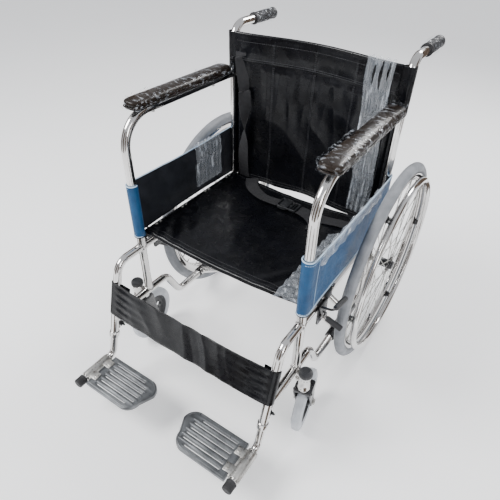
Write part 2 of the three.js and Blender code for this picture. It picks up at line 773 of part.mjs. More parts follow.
function beltBuckle() {
  const low = SEAT.top - SEAT.sag + 2;
  const outline = roundedRectangle(BELT.right - 64, BELT.y - 24, BELT.right - 1, BELT.y + 24, 8);
  return slab(outline, low, low + 12);
}

for (const side of SIDES) {
  const { name, s } = side;
  const x = s * FRAME_X;
  add(`${name}_rear_post`, rearPost(x), MATERIALS.chrome);
  add(`${name}_arm_tube`, armTube(x), MATERIALS.chrome);
  add(`${name}_seat_rail`, seatRail(x), MATERIALS.chrome);
  add(`${name}_lower_frame`, lowerFrame(x), MATERIALS.chrome);
  add(`${name}_push_grip`, pushGrip(x), MATERIALS.gripPlastic);
  add(`${name}_armrest_pad`, armPad(x), MATERIALS.padVinyl);
  add(`${name}_side_panel`, sidePanel(s), MATERIALS.bluePanel);
  add(`${name}_rear_axle`, rearAxle(s), MATERIALS.zinc);
  add(`${name}_rear_tyre`, rearTyre(s), MATERIALS.greyTyre);
  add(`${name}_rear_rim`, rearRim(s), MATERIALS.chrome);
  add(`${name}_hub_and_spokes`, rearHub(s), MATERIALS.zinc);
  add(`${name}_handrim`, handrim(s), MATERIALS.chrome);
  add(`${name}_caster_housing`, casterHousing(s), MATERIALS.chrome);
  add(`${name}_caster_cap`, casterCap(s), MATERIALS.blackPlastic);
  add(`${name}_caster_fork`, turnedCaster(casterFork(), side), MATERIALS.blackPlastic);
  add(`${name}_caster_axle`, turnedCaster(casterAxle(), side), MATERIALS.zinc);
  add(`${name}_caster_wheel`, turnedCaster(casterHub(), side), MATERIALS.blackPlastic);
  add(`${name}_caster_tyre`, turnedCaster(casterTyre(), side), MATERIALS.casterTyre);
  add(`${name}_brake_bracket`, brakeBracket(s), MATERIALS.blackPlastic);
  add(`${name}_brake_lever`, brakeLever(s), MATERIALS.blackPlastic);
  add(`${name}_brake_shoe`, brakeShoe(s), MATERIALS.zinc);
  add(`${name}_footrest_tube`, footrestTube(x), MATERIALS.chrome);
  add(`${name}_footrest_tip`, footrestTip(x), MATERIALS.rubber);
  add(`${name}_wing_bolt`, wingBolt(x), MATERIALS.zinc);
  add(`${name}_footplate`, footplate(s), MATERIALS.castAluminium);
  add(`${name}_footplate_hinge`, plateHinge(s), MATERIALS.zinc);
}

// Half a, sleeved on the right lower rail, carries the left seat tube; half b is its mirror.
add("brace_a", brace(-1, BRACE_A_SPREAD), MATERIALS.chrome);
add("brace_b", brace(1, BRACE_B_SPREAD), MATERIALS.chrome);
add("brace_pivot_bolt", braceBolt(), MATERIALS.zinc);
add("seat_sling", seatSling(), MATERIALS.blackVinyl);
add("back_sling", backSling(), MATERIALS.blackVinyl);
add("calf_strap", calfStrap(), MATERIALS.blackVinyl);
add("lap_belt", lapBelt(), MATERIALS.webbing);
add("belt_buckle", beltBuckle(), MATERIALS.blackPlastic);

export default chair;
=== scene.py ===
import math

import bmesh
import bpy
from mathutils import Matrix, Vector, noise


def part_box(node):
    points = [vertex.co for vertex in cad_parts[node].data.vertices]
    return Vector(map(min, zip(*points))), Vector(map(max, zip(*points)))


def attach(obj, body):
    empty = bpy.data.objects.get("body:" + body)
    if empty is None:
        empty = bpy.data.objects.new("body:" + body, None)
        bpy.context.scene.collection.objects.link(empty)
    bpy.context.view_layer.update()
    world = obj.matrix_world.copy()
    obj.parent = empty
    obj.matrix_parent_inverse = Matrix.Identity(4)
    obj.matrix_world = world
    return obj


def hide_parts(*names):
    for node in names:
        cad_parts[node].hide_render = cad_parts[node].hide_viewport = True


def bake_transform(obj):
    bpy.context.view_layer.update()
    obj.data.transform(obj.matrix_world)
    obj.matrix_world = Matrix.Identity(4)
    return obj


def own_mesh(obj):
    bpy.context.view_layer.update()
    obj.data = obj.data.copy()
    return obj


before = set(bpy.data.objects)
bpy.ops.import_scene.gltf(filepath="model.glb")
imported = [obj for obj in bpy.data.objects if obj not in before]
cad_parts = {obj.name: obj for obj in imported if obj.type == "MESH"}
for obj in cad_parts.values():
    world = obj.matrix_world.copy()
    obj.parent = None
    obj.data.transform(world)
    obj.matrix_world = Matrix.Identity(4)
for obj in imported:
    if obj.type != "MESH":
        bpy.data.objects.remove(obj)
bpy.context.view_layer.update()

SIDES = (("right", -1), ("left", 1))


def middle(node):
    low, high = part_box(node)
    return (low + high) / 2


# Places, in metres: most are taken from the frame.
FRAME_X = middle("left_rear_post").x
POST_Y = middle("left_rear_tyre").y
WHEEL_R = middle("left_rear_tyre").z
WHEEL_X = middle("left_rear_tyre").x
HANDRIM_X = 0.322
RAIL_Z = middle("left_seat_rail").z
SEAT_TUBE_Z = 0.420
SEAT_TUBE_X = 0.237
SEAT_FRONT_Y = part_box("seat_sling")[0].y
SEAT_REAR_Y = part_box("seat_sling")[1].y
SEAT_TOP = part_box("seat_sling")[1].z
BACK_LOW, BACK_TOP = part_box("back_sling")[0].z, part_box("back_sling")[1].z
PLATE_PIVOT_Z = middle("left_footplate").z

# Sizes and heights, in metres.
TUBE_R = 0.011
UPRIGHT_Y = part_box("left_arm_tube")[0].y + TUBE_R
HANDLE_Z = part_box("left_rear_post")[1].z - TUBE_R
ARM_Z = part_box("left_arm_tube")[1].z - TUBE_R
POST_BOTTOM_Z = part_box("left_rear_post")[0].z
LOWER_RAIL_Z = 0.138
FRONT_RAIL_Z = 0.229
HANGER_Y = UPRIGHT_Y - 0.085
HANGER_SLOPE = 0.28
GRIP_R = 0.0155
HANGER_END_Z = 0.166
INNER_TOP_Z = 0.262
STEP_FRONT_Y, STEP_REAR_Y, STEP_BEND = -0.148, -0.101, 0.030
HANDLE_BEND, HANDLE_REACH = 0.042, 0.1967
GRIP_START, GRIP_END = 0.301, 0.409
ARM_BEND, HANGER_BEND = 0.080, 0.040
TUBE_SIDES = 32
WING_BOLT_Z = 0.190
BRACE_A_SPREAD, BRACE_B_SPREAD = 0.065, 0.039

# The camera stands in front of the chair, to its left and above the armrests.
CAMERA_PLACE = (0.5255, -0.8560, 1.1418)
CAMERA_AZIMUTH = math.radians(31.5)
CAMERA_ELEVATION = math.radians(38.9)
CAMERA_ROLL = math.radians(2.5)
CAMERA_LENS = 32.29
CAMERA_SHIFT = (-0.0242, 0.0076)


def make_camera():
    data = bpy.data.cameras.new("camera")
    data.lens = CAMERA_LENS
    data.sensor_width = 36
    data.shift_x, data.shift_y = CAMERA_SHIFT
    data.clip_start = 0.01
    camera = bpy.data.objects.new("camera", data)
    bpy.context.scene.collection.objects.link(camera)
    a, e, r = CAMERA_AZIMUTH, CAMERA_ELEVATION, CAMERA_ROLL
    back = Vector((math.sin(a) * math.cos(e), -math.cos(a) * math.cos(e), math.sin(e)))
    right = Vector((0, 0, 1)).cross(back).normalized()
    up = back.cross(right)
    turned_right = right * math.cos(r) + up * math.sin(r)
    turned_up = up * math.cos(r) - right * math.sin(r)
    axes = Matrix((turned_right, turned_up, back)).transposed().to_4x4()
    camera.matrix_world = Matrix.Translation(CAMERA_PLACE) @ axes
    bpy.context.scene.camera = camera


make_camera()


# ---------------------------------------------------------------- materials


class Surface:
    """One procedural material: a Principled shader with its texture nodes."""

    def __init__(self, name, rough=0.5, metal=0.0, **constants):
        self.made = bpy.data.materials.new(name)
        self.made.use_nodes = True
        self.nodes = self.made.node_tree.nodes
        self.links = self.made.node_tree.links
        self.shader = self.nodes["Principled BSDF"]
        self.place = self.nodes.new("ShaderNodeTexCoord").outputs["Object"]
        self.set("Roughness", rough)
        self.set("Metallic", metal)
        for key, value in constants.items():
            self.set(key.replace("_", " "), value)

    def set(self, socket, value):
        self.shader.inputs[socket].default_value = value

    def stretched(self, scale):
        mapping = self.nodes.new("ShaderNodeMapping")
        mapping.inputs["Scale"].default_value = scale
        self.links.new(self.place, mapping.inputs["Vector"])
        return mapping.outputs["Vector"]

    def noise(self, scale, detail=4.0, stretch=None):
        node = self.nodes.new("ShaderNodeTexNoise")
        node.inputs["Scale"].default_value = scale
        node.inputs["Detail"].default_value = detail
        self.links.new(self.stretched(stretch) if stretch else self.place, node.inputs["Vector"])
        return node.outputs["Fac"]

    def cells(self, scale, feature="DISTANCE_TO_EDGE"):
        node = self.nodes.new("ShaderNodeTexVoronoi")
        node.feature = feature
        node.inputs["Scale"].default_value = scale
        self.links.new(self.place, node.inputs["Vector"])
        return node.outputs["Distance"]

    def waves(self, scale, direction, distortion=0.0):
        node = self.nodes.new("ShaderNodeTexWave")
        node.bands_direction = direction
        node.inputs["Scale"].default_value = scale
        node.inputs["Distortion"].default_value = distortion
        self.links.new(self.place, node.inputs["Vector"])
        return node.outputs["Fac"]

    def mixed(self, first, second, how="MULTIPLY"):
        node = self.nodes.new("ShaderNodeMath")
        node.operation = how
        self.links.new(first, node.inputs[0])
        self.links.new(second, node.inputs[1])
        return node.outputs[0]

    def colours(self, factor, *stops):
        """Stops are (position, colour)."""
        ramp = self.nodes.new("ShaderNodeValToRGB")
        elements = ramp.color_ramp.elements
        while len(elements) < len(stops):
            elements.new(0.5)
        for element, (position, colour) in zip(elements, stops):
            element.position = position
            element.color = (*colour, 1)
        self.links.new(factor, ramp.inputs["Fac"])
        self.links.new(ramp.outputs["Color"], self.shader.inputs["Base Color"])
        return self

    def ranged(self, factor, low, high, socket="Roughness"):
        node = self.nodes.new("ShaderNodeMapRange")
        node.inputs["From Min"].default_value = 0.3
        node.inputs["From Max"].default_value = 0.7
        node.inputs["To Min"].default_value = low
        node.inputs["To Max"].default_value = high
        self.links.new(factor, node.inputs["Value"])
        self.links.new(node.outputs["Result"], self.shader.inputs[socket])
        return self

    def bump(self, height, strength, distance=0.001):
        node = self.nodes.new("ShaderNodeBump")
        node.inputs["Strength"].default_value = strength
        node.inputs["Distance"].default_value = distance
        earlier = self.shader.inputs["Normal"].links
        if earlier:
            self.links.new(earlier[0].from_socket, node.inputs["Normal"])
        self.links.new(height, node.inputs["Height"])
        self.links.new(node.outputs["Normal"], self.shader.inputs["Normal"])
        return self


def chrome_plate():
    s = Surface("chrome", metal=1.0)
    s.colours(s.noise(9), (0.3, (0.60, 0.585, 0.57)), (0.7, (0.78, 0.77, 0.76)))
    s.ranged(s.noise(60, 6), 0.05, 0.17)
    return s.bump(s.noise(220, 3), 0.03, 0.0004).made


def zinc_plate():
    s = Surface("zinc_steel", metal=1.0)
    s.colours(s.noise(35), (0.25, (0.36, 0.355, 0.34)), (0.7, (0.62, 0.61, 0.58)))
    s.ranged(s.noise(140, 5), 0.22, 0.45)
    return s.bump(s.noise(500, 4), 0.12, 0.0003).made


def cast_aluminium():
    s = Surface("cast_aluminium", metal=0.85)
    s.colours(s.noise(28, 6), (0.25, (0.09, 0.095, 0.10)), (0.75, (0.24, 0.25, 0.26)))
    s.ranged(s.noise(90, 6), 0.26, 0.46)
    return s.bump(s.noise(900, 3), 0.35, 0.0003).made


def moulded(name, dark, light, rough, grain=1400, strength=0.2, **constants):
    s = Surface(name, **constants)
    s.colours(s.noise(24, 5), (0.3, dark), (0.75, light))
    s.ranged(s.noise(110, 4), rough - 0.08, rough + 0.1)
    return s.bump(s.noise(grain, 2), strength, 0.0002).made


def vinyl(name, dark, light, rough=0.3, grain=620):
    s = Surface(name, Coat_Weight=0.08, Coat_Roughness=0.10, Specular_IOR_Level=0.2)
    s.colours(s.noise(14, 6), (0.3, dark), (0.72, light))
    s.ranged(s.noise(45, 5), rough - 0.07, rough + 0.12)
    s.bump(s.cells(grain), 0.25, 0.0004)
    s.bump(s.noise(26, 4), 0.3, 0.004)
    return s.made


def coated_cloth(name, dark, light, first, second):
    """A fine plain weave under a thin coating, with its threads along two directions."""
    s = Surface(name, Sheen_Weight=0.04, Sheen_Roughness=0.4, Coat_Weight=0.04, Specular_IOR_Level=0.22)
    s.colours(s.noise(30, 6), (0.3, dark), (0.72, light))
    s.ranged(s.noise(120, 4), 0.34, 0.52)
    weave = s.mixed(s.waves(420, first), s.waves(420, second), "MAXIMUM")
    s.bump(weave, 0.35, 0.0004)
    return s.bump(s.noise(40, 3), 0.2, 0.002).made


def tyre_rubber(name, dark, light):
    s = Surface(name)
    s.colours(s.noise(26, 7), (0.3, dark), (0.74, light))
    s.ranged(s.noise(70, 5), 0.5, 0.72)
    return s.bump(s.noise(700, 3), 0.3, 0.0003).made


def webbing_cloth():
    s = Surface("webbing", Sheen_Weight=0.08, Sheen_Roughness=0.5)
    s.colours(s.noise(160, 4), (0.3, (0.006, 0.006, 0.008)), (0.75, (0.020, 0.020, 0.023)))
    s.ranged(s.noise(80, 4), 0.6, 0.85)
    twill = s.mixed(s.waves(170, "X", 1.0), s.waves(170, "Y", 1.0), "MAXIMUM")
    return s.bump(twill, 0.6, 0.0006).made


def clear_plastic(name, clear, milky, stretch):
    """Thin wrapping film: clear where it lies flat, milky and shiny where it is creased."""
    s = Surface(name, rough=0.12, IOR=1.5, Specular_IOR_Level=1.0, Coat_Weight=1.0, Coat_Roughness=0.06)
    s.colours(s.noise(40, 5), (0.3, (0.62, 0.68, 0.76)), (0.7, (0.86, 0.90, 0.95)))
    s.bump(s.noise(80, 5), 0.7, 0.006)
    s.bump(s.noise(60, 3, stretch), 0.6, 0.010)
    creased = s.noise(150, 7, stretch)
    s.ranged(s.mixed(creased, creased), clear, milky, "Alpha")
    return s.made


CHROME = chrome_plate()
ZINC = zinc_plate()
CAST = cast_aluminium()
BLACK_PLASTIC = moulded("black_plastic", (0.010, 0.011, 0.013), (0.028, 0.029, 0.032), 0.36)
GRIP_PLASTIC = moulded("grip_plastic", (0.018, 0.018, 0.020), (0.045, 0.045, 0.048), 0.48, 900, 0.35)
BLACK_PAINT = moulded("black_paint", (0.008, 0.008, 0.010), (0.022, 0.022, 0.025), 0.26, 400, 0.12,
                      Coat_Weight=0.4)
PAD_VINYL = vinyl("pad_vinyl", (0.008, 0.0055, 0.004), (0.024, 0.017, 0.013), 0.28, 700)
BLACK_VINYL = vinyl("black_vinyl", (0.0016, 0.0018, 0.0026), (0.0046, 0.0050, 0.0070), 0.24)
BLUE_CLOTH = coated_cloth("blue_panel", (0.004, 0.042, 0.115), (0.010, 0.078, 0.190), "Y", "Z")
LINING = coated_cloth("panel_lining", (0.008, 0.009, 0.012), (0.020, 0.022, 0.028), "Y", "Z")
PALE_EDGE = moulded("pale_binding", (0.36, 0.50, 0.66), (0.62, 0.74, 0.86), 0.45)
GREY_TYRE = tyre_rubber("grey_tyre", (0.17, 0.18, 0.195), (0.29, 0.30, 0.32))
CASTER_TYRE = tyre_rubber("caster_tyre", (0.40, 0.42, 0.45), (0.60, 0.62, 0.65))
RUBBER = tyre_rubber("black_rubber", (0.010, 0.010, 0.011), (0.026, 0.026, 0.028))
WEBBING = webbing_cloth()
FILM = clear_plastic("loose_film", 0.12, 1.0, (1, 0.8, 0.10))
TIGHT_FILM = clear_plastic("tight_film", 0.0, 0.55, (0.35, 0.8, 1))
THREAD = moulded("thread", (0.015, 0.015, 0.018), (0.055, 0.057, 0.064), 0.55, 2500, 0.5)


# ---------------------------------------------------------------- shapes: each is (points, faces)


def sweep(points, radius, sides=20, closed=False):
    """A round bar along points. radius is one number or one for each point."""
    points = [Vector(p) for p in points]
    count = len(points)
    radii = list(radius) if hasattr(radius, "__len__") else [radius] * count
    if not closed:
        for end, inward in ((0, 1), (-1, -2)):
            chamfer = min(0.16 * radii[end], 0.0012)
            step = (points[inward] - points[end]).normalized() * chamfer
            at = 1 if end == 0 else len(points) - 1
            points.insert(at, points[end] + step)
            radii.insert(at, radii[end])
            radii[end] -= chamfer
        count = len(points)
    side = None
    verts = []
    for i, point in enumerate(points):
        before = points[i - 1] if i or closed else points[i]
        after = points[(i + 1) % count] if i < count - 1 or closed else points[i]
        along = (after - before).normalized()
        if side is None:
            side = along.orthogonal().normalized()
        side = (side - along * side.dot(along)).normalized()
        other = along.cross(side)
        for k in range(sides):
            angle = 2 * math.pi * k / sides
            verts.append(point + (side * math.cos(angle) + other * math.sin(angle)) * radii[i])
    faces = []
    for i in range(count if closed else count - 1):
        for k in range(sides):
            a, b = i * sides + k, i * sides + (k + 1) % sides
            step = ((i + 1) % count - i) * sides
            faces.append((a, b, b + step, a + step))
    if not closed:
        faces.append(tuple(reversed(range(sides))))
        faces.append(tuple(range((count - 1) * sides, count * sides)))
    return verts, faces


def route(corners, step=math.radians(6)):
    """Points along corners (x, y, z, bend radius), with each bend as a fine arc."""
    points = []
    for i, (x, y, z, bend) in enumerate(corners):
        corner = Vector((x, y, z))
        if not bend:
            points.append(corner)
            continue
        back = (Vector(corners[i - 1][:3]) - corner).normalized()
        ahead = (Vector(corners[i + 1][:3]) - corner).normalized()
        half = back.angle(ahead) / 2
        centre = corner + (back + ahead).normalized() * (bend / math.sin(half))
        arm = corner + back * (bend / math.tan(half)) - centre
        turn = math.pi - 2 * half
        axis = arm.cross(corner - centre)
        steps = max(2, math.ceil(turn / step))
        for k in range(steps + 1):
            points.append(centre + Matrix.Rotation(turn * k / steps, 3, axis) @ arm)
    return points


def bent_tube(corners, radius=TUBE_R, sides=24):
    return sweep(route(corners), radius, sides)


def bar(start, end, radius, sides=20):
    return sweep([start, end], radius, sides)


def lathe(profile, segments=96, closed=False):
    """Turned about Z. profile is (radius, height) points; a radius of 0 is a pole."""
    verts, rings = [], []
    for r, h in profile:
        rings.append((len(verts), r > 1e-7))
        for k in range(segments if r > 1e-7 else 1):
            angle = 2 * math.pi * k / segments
            verts.append(Vector((r * math.cos(angle), r * math.sin(angle), h)))
    faces = []
    pairs = list(zip(rings, rings[1:])) + ([(rings[-1], rings[0])] if closed else [])
    for (a, wide_a), (b, wide_b) in pairs:
        for k in range(segments):
            n = (k + 1) % segments
            if wide_a and wide_b:
                faces.append((a + k, a + n, b + n, b + k))
            elif wide_b:
                faces.append((a, b + n, b + k))
            elif wide_a:
                faces.append((a + k, a + n, b))
    return verts, faces


def arc(centre_r, centre_h, radius, start, end, steps=6):
    """Profile points on an arc, angles in degrees."""
    turn = [math.radians(start + (end - start) * k / steps) for k in range(steps + 1)]
    return [(centre_r + radius * math.cos(t), centre_h + radius * math.sin(t)) for t in turn]


def moved(shape, matrix):
    verts, faces = shape
    return [matrix @ v for v in verts], faces


def along_x(shape, centre=(0, 0, 0)):
    return moved(shape, Matrix.Translation(centre) @ Matrix.Rotation(math.pi / 2, 4, "Y"))


def along_y(shape, centre=(0, 0, 0)):
    return moved(shape, Matrix.Translation(centre) @ Matrix.Rotation(-math.pi / 2, 4, "X"))


def raised(shape, centre):
    return moved(shape, Matrix.Translation(centre))


def from_bmesh(work):
    work.verts.index_update()
    verts = [v.co.copy() for v in work.verts]
    faces = [tuple(v.index for v in f.verts) for f in work.faces]
    work.free()
    return verts, faces


def block(low, high, bevel=0.0015, segments=2):
    work = bmesh.new()
    bmesh.ops.create_cube(work, size=1)
    low, high = Vector(low), Vector(high)
    for v in work.verts:
        v.co = Vector(((v.co[i] + 0.5) * (high[i] - low[i]) + low[i] for i in range(3)))
    bmesh.ops.bevel(work, geom=work.edges[:], offset=bevel, segments=segments, affect="EDGES", profile=0.5)
    return from_bmesh(work)


def hexagon(radius, height, bevel=0.0006):
    """A bolt head or nut along Z, from 0 to height, with its corners chamfered."""
    inset = radius * 0.9
    return lathe([(0, 0), (inset, 0), (radius, bevel), (radius, height - bevel), (inset, height),
                  (0, height)], 6)


def circle(x, y, radius, count=32):
    turn = [2 * math.pi * k / count for k in range(count)]
    return [(x + radius * math.cos(t), y + radius * math.sin(t)) for t in turn]


def rounded_outline(low_x, low_y, high_x, high_y, radius, steps=6):
    points = []
    corners = ((high_x, high_y, 0), (low_x, high_y, 90), (low_x, low_y, 180), (high_x, low_y, 270))
    for x, y, start in corners:
        cx = x - radius if x == high_x else x + radius
        cy = y - radius if y == high_y else y + radius
        points += arc(cx, cy, radius, start, start + 90, steps)
    return points


def plate(outlines, thick, bevel=0.001):
    """A flat plate with rounded edges in X and Y, centred in Z; outlines after the first are holes."""
    curve = bpy.data.curves.new("plate", "CURVE")
    curve.dimensions = "2D"
    curve.fill_mode = "BOTH"
    curve.extrude = thick / 2 - bevel
    curve.bevel_depth = bevel
    curve.bevel_resolution = 2
    curve.offset = -bevel
    for outline in outlines:
        spline = curve.splines.new("POLY")
        spline.points.add(len(outline) - 1)
        for point, (x, y) in zip(spline.points, outline):
            point.co = (x, y, 0, 1)
        spline.use_cyclic_u = True
    holder = bpy.data.objects.new("plate", curve)
    bpy.context.scene.collection.objects.link(holder)
    mesh = bpy.data.meshes.new_from_object(holder.evaluated_get(bpy.context.evaluated_depsgraph_get()))
    work = bmesh.new()
    work.from_mesh(mesh)
    bmesh.ops.remove_doubles(work, verts=work.verts[:], dist=1e-6)
    bpy.data.objects.remove(holder)
    bpy.data.curves.remove(curve)
    bpy.data.meshes.remove(mesh)
    return from_bmesh(work)


def stand_up(shape, x):
    """Turns a plate drawn as (y, z) so that it stands at x."""
    verts, faces = shape
    return [Vector((x + v.z, v.x, v.y)) for v in verts], faces


def saddle(angle, radius):
    """How far along the running-off tube the bead lies at an angle round it."""
    return radius * math.sqrt(math.sin(angle) ** 2 + 0.02) + 0.0006


def weld(place, along, through, radius=TUBE_R):
    """The bead where a tube running off along meets a tube of the same radius running through."""
    along, through = Vector(along).normalized(), Vector(through).normalized()
    side = along.cross(through)
    points = []
    for k in range(40):
        angle = 2 * math.pi * k / 40
        wobble = 0.0004 * math.sin(9 * angle)
        across = side * math.cos(angle) + through * math.sin(angle)
        points.append(Vector(place) + across * (radius + 0.0004) + along * (saddle(angle, radius) + wobble))
    return sweep(points, 0.0021, 8, closed=True)


class Piece:
    """Shapes, each with its material, that become one mesh object."""

    def __init__(self):
        self.verts = []
        self.faces = []
        self.picks = []
        self.materials = []

    def put(self, shape, material):
        verts, faces = shape
        start = len(self.verts)
        if material not in self.materials:
            self.materials.append(material)
        self.verts += verts
        self.faces += [tuple(start + i for i in face) for face in faces]
        self.picks += [self.materials.index(material)] * len(faces)
        return self

    def mesh(self, name, s=1, matrix=None, sharp=35):
        matrix = matrix or Matrix.Identity(4)
        verts = [matrix @ Vector(v) for v in self.verts]
        faces = self.faces
        if s < 0:
            verts = [Vector((-v.x, v.y, v.z)) for v in verts]
            faces = [tuple(reversed(face)) for face in faces]
        data = bpy.data.meshes.new(name)
        data.from_pydata(verts, [], faces)
        for material in self.materials:
            data.materials.append(material)
        data.polygons.foreach_set("material_index", self.picks)
        work = bmesh.new()
        work.from_mesh(data)
        bmesh.ops.recalc_face_normals(work, faces=work.faces[:])
        work.to_mesh(data)
        work.free()
        data.shade_smooth()
        data.set_sharp_from_angle(angle=math.radians(sharp))
        made = bpy.data.objects.new(name, data)
        bpy.context.scene.collection.objects.link(made)
        return made

    def ride(self, name, body, slot, replaces=(), s=1, matrix=None, sharp=35):
        made = self.mesh(name, s, matrix, sharp)
        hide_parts(*replaces)
        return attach(made, body)


# ---------------------------------------------------------------- side frames


def hanger_y(z):
    return HANGER_Y - HANGER_SLOPE * (RAIL_Z - z)


def tube_plug(place, along, radius=TUBE_R):
    """A black cap pushed into an open tube end."""
    cap = lathe([(0, -0.004), (radius - 0.002, -0.004), (radius + 0.0004, 0.0), (radius + 0.0004, 0.0016)]
                + arc(radius - 0.002, 0.0012, 0.0024, 10, 90, 4) + [(0, 0.0040)], 28)
    aim = Vector(along).to_track_quat("Z", "Y").to_matrix().to_4x4()
    return moved(cap, Matrix.Translation(place) @ aim)


def rear_post():
    piece = Piece()
    end_y = POST_Y + HANDLE_REACH
    run = [(FRAME_X, POST_Y, POST_BOTTOM_Z, 0), (FRAME_X, POST_Y, HANDLE_Z, HANDLE_BEND),
           (FRAME_X, end_y, HANDLE_Z, 0)]
    piece.put(bent_tube(run, sides=TUBE_SIDES), CHROME)
    piece.put(tube_plug((FRAME_X, POST_Y, POST_BOTTOM_Z), (0, 0, -1)), BLACK_PLASTIC)
    for z in (ARM_Z, RAIL_Z, LOWER_RAIL_Z):
        piece.put(weld((FRAME_X, POST_Y, z), (0, -1, 0), (0, 0, 1)), CHROME)
    return piece


def arm_tube():
    run = [
        (FRAME_X, POST_Y - TUBE_R * 0.7, ARM_Z, 0),
        (FRAME_X, UPRIGHT_Y, ARM_Z, ARM_BEND),
        (FRAME_X, UPRIGHT_Y, FRONT_RAIL_Z + TUBE_R * 0.5, 0),
    ]
    piece = Piece().put(bent_tube(run, sides=TUBE_SIDES), CHROME)
    piece.put(weld((FRAME_X, UPRIGHT_Y, FRONT_RAIL_Z), (0, 0, 1), (0, 1, 0)), CHROME)
    piece.put(weld((FRAME_X, UPRIGHT_Y, RAIL_Z), (0, 1, 0), (0, 0, 1)), CHROME)
    return piece.put(weld((FRAME_X, UPRIGHT_Y, RAIL_Z), (0, -1, 0), (0, 0, 1)), CHROME)


def seat_rail():
    """The rail with two plastic saddles on it, each with a side screw."""
    ends = (UPRIGHT_Y + TUBE_R * 0.6, POST_Y - TUBE_R * 0.6)
    piece = Piece().put(bar((FRAME_X, ends[0], RAIL_Z), (FRAME_X, ends[1], RAIL_Z), TUBE_R, TUBE_SIDES),
                        CHROME)
    for y in (-0.100, 0.150):
        low_x, high_x = FRAME_X - 0.0122, FRAME_X + 0.0118
        piece.put(block((low_x, y - 0.016, RAIL_Z + 0.004), (high_x, y + 0.016, RAIL_Z + 0.0205), 0.003),
                  BLACK_PLASTIC)
        for x, wide in ((low_x - 0.0015, 0.005), (high_x - 0.0035, 0.005)):
            piece.put(block((x, y - 0.014, RAIL_Z - 0.006), (x + wide, y + 0.014, RAIL_Z + 0.018), 0.0018),
                      BLACK_PLASTIC)
        head = hexagon(0.0045, 0.003)
        piece.put(along_x(head, (low_x - 0.0042, y, RAIL_Z)), ZINC)
    return piece


def lower_frame():
    hanger = [(FRAME_X, UPRIGHT_Y - TUBE_R * 0.6, RAIL_Z, 0), (FRAME_X, HANGER_Y, RAIL_Z, HANGER_BEND),
              (FRAME_X, hanger_y(HANGER_END_Z), HANGER_END_Z, 0)]
    rail = [(FRAME_X, hanger_y(FRONT_RAIL_Z) + TUBE_R * 0.7, FRONT_RAIL_Z, 0),
            (FRAME_X, STEP_FRONT_Y, FRONT_RAIL_Z, STEP_BEND),
            (FRAME_X, STEP_REAR_Y, LOWER_RAIL_Z, STEP_BEND),
            (FRAME_X, POST_Y - TUBE_R * 0.6, LOWER_RAIL_Z, 0)]
    piece = Piece().put(bent_tube(hanger, sides=TUBE_SIDES), CHROME).put(bent_tube(rail, sides=TUBE_SIDES),
            CHROME)
    down = Vector((0, -HANGER_SLOPE, -1)).normalized()
    end = Vector((FRAME_X, hanger_y(HANGER_END_Z), HANGER_END_Z))
    collar = lathe([(0.0103, 0), (0.0131, 0), (0.0136, 0.002), (0.0136, 0.014), (0.0131, 0.016),
                    (0.0110, 0.016)],
                   40, closed=True)
    aim = (-down).to_track_quat("Z", "Y").to_matrix().to_4x4()
    piece.put(moved(collar, Matrix.Translation(end + down * 0.001) @ aim), CHROME)
    piece.put(weld((FRAME_X, hanger_y(FRONT_RAIL_Z), FRONT_RAIL_Z), (0, 1, 0), -down), CHROME)
    bolt_boss = lathe([(0.0045, 0), (0.0095, 0), (0.0085, 0.004), (0.0045, 0.004)], 24, closed=True)
    return piece.put(along_y(bolt_boss, (FRAME_X, hanger_y(WING_BOLT_Z) + TUBE_R - 0.001, WING_BOLT_Z)),
                     CHROME)


def push_grip():
    """A moulded grip: a flange, finger rings and a round end, round the handle's end."""
    start, end = GRIP_START - POST_Y, GRIP_END - POST_Y
    profile = [(0.0113, start), (GRIP_R + 0.0002, start), (GRIP_R + 0.0002, start + 0.005),
               (GRIP_R - 0.0015, start + 0.008)]
    rings = 14
    for k in range(rings * 4 + 1):
        h = start + 0.010 + (end - start - 0.024) * k / (rings * 4)
        swell = 0.0010 * math.sin(math.pi * k / (rings * 4))
        profile.append((GRIP_R - 0.0019 + swell + 0.0006 * math.cos(2 * math.pi * k / 4), h))
    profile += [(GRIP_R - 0.0005, end - 0.011)] + arc(GRIP_R - 0.006, end - 0.006, 0.006, 0, 90,
            5) + [(0, end)]
    return Piece().put(along_y(lathe(profile, 48), (FRAME_X, POST_Y, HANDLE_Z)), GRIP_PLASTIC)


def rear_axle():
    """A long bolt through the post: hex head and washers inside, a domed cap over its nut outside."""
    inner, face = FRAME_X - TUBE_R, WHEEL_X + 0.024
    piece = Piece().put(bar((inner - 0.008, POST_Y, WHEEL_R), (face + 0.001, POST_Y, WHEEL_R), 0.006), ZINC)
    piece.put(along_x(hexagon(0.011, 0.0075), (inner - 0.0090, POST_Y, WHEEL_R)), ZINC)
    washer = lathe([(0.006, 0), (0.0125, 0), (0.0125, 0.0012), (0.006, 0.0012)], 32, closed=True)
    piece.put(along_x(washer, (inner - 0.0012, POST_Y, WHEEL_R)), ZINC)
    piece.put(along_x(washer, (FRAME_X + TUBE_R + 0.0005, POST_Y, WHEEL_R)), ZINC)
    spacer = lathe([(0.006, 0), (0.0085, 0), (0.0085, 0.0105), (0.006, 0.0105)], 32, closed=True)
    piece.put(along_x(spacer, (FRAME_X + TUBE_R + 0.0018, POST_Y, WHEEL_R)), ZINC)
    cap = [(0, 0), (0.013, 0), (0.013, 0.0025)] + arc(0.0095, 0.0022, 0.0035, 0, 90, 5) + [(0, 0.0057)]
    return piece.put(along_x(lathe(cap, 40), (face + 0.0003, POST_Y, WHEEL_R)), BLACK_PLASTIC)


# ---------------------------------------------------------------- rear wheels


def wheel_centre():
    return (WHEEL_X, POST_Y, WHEEL_R)


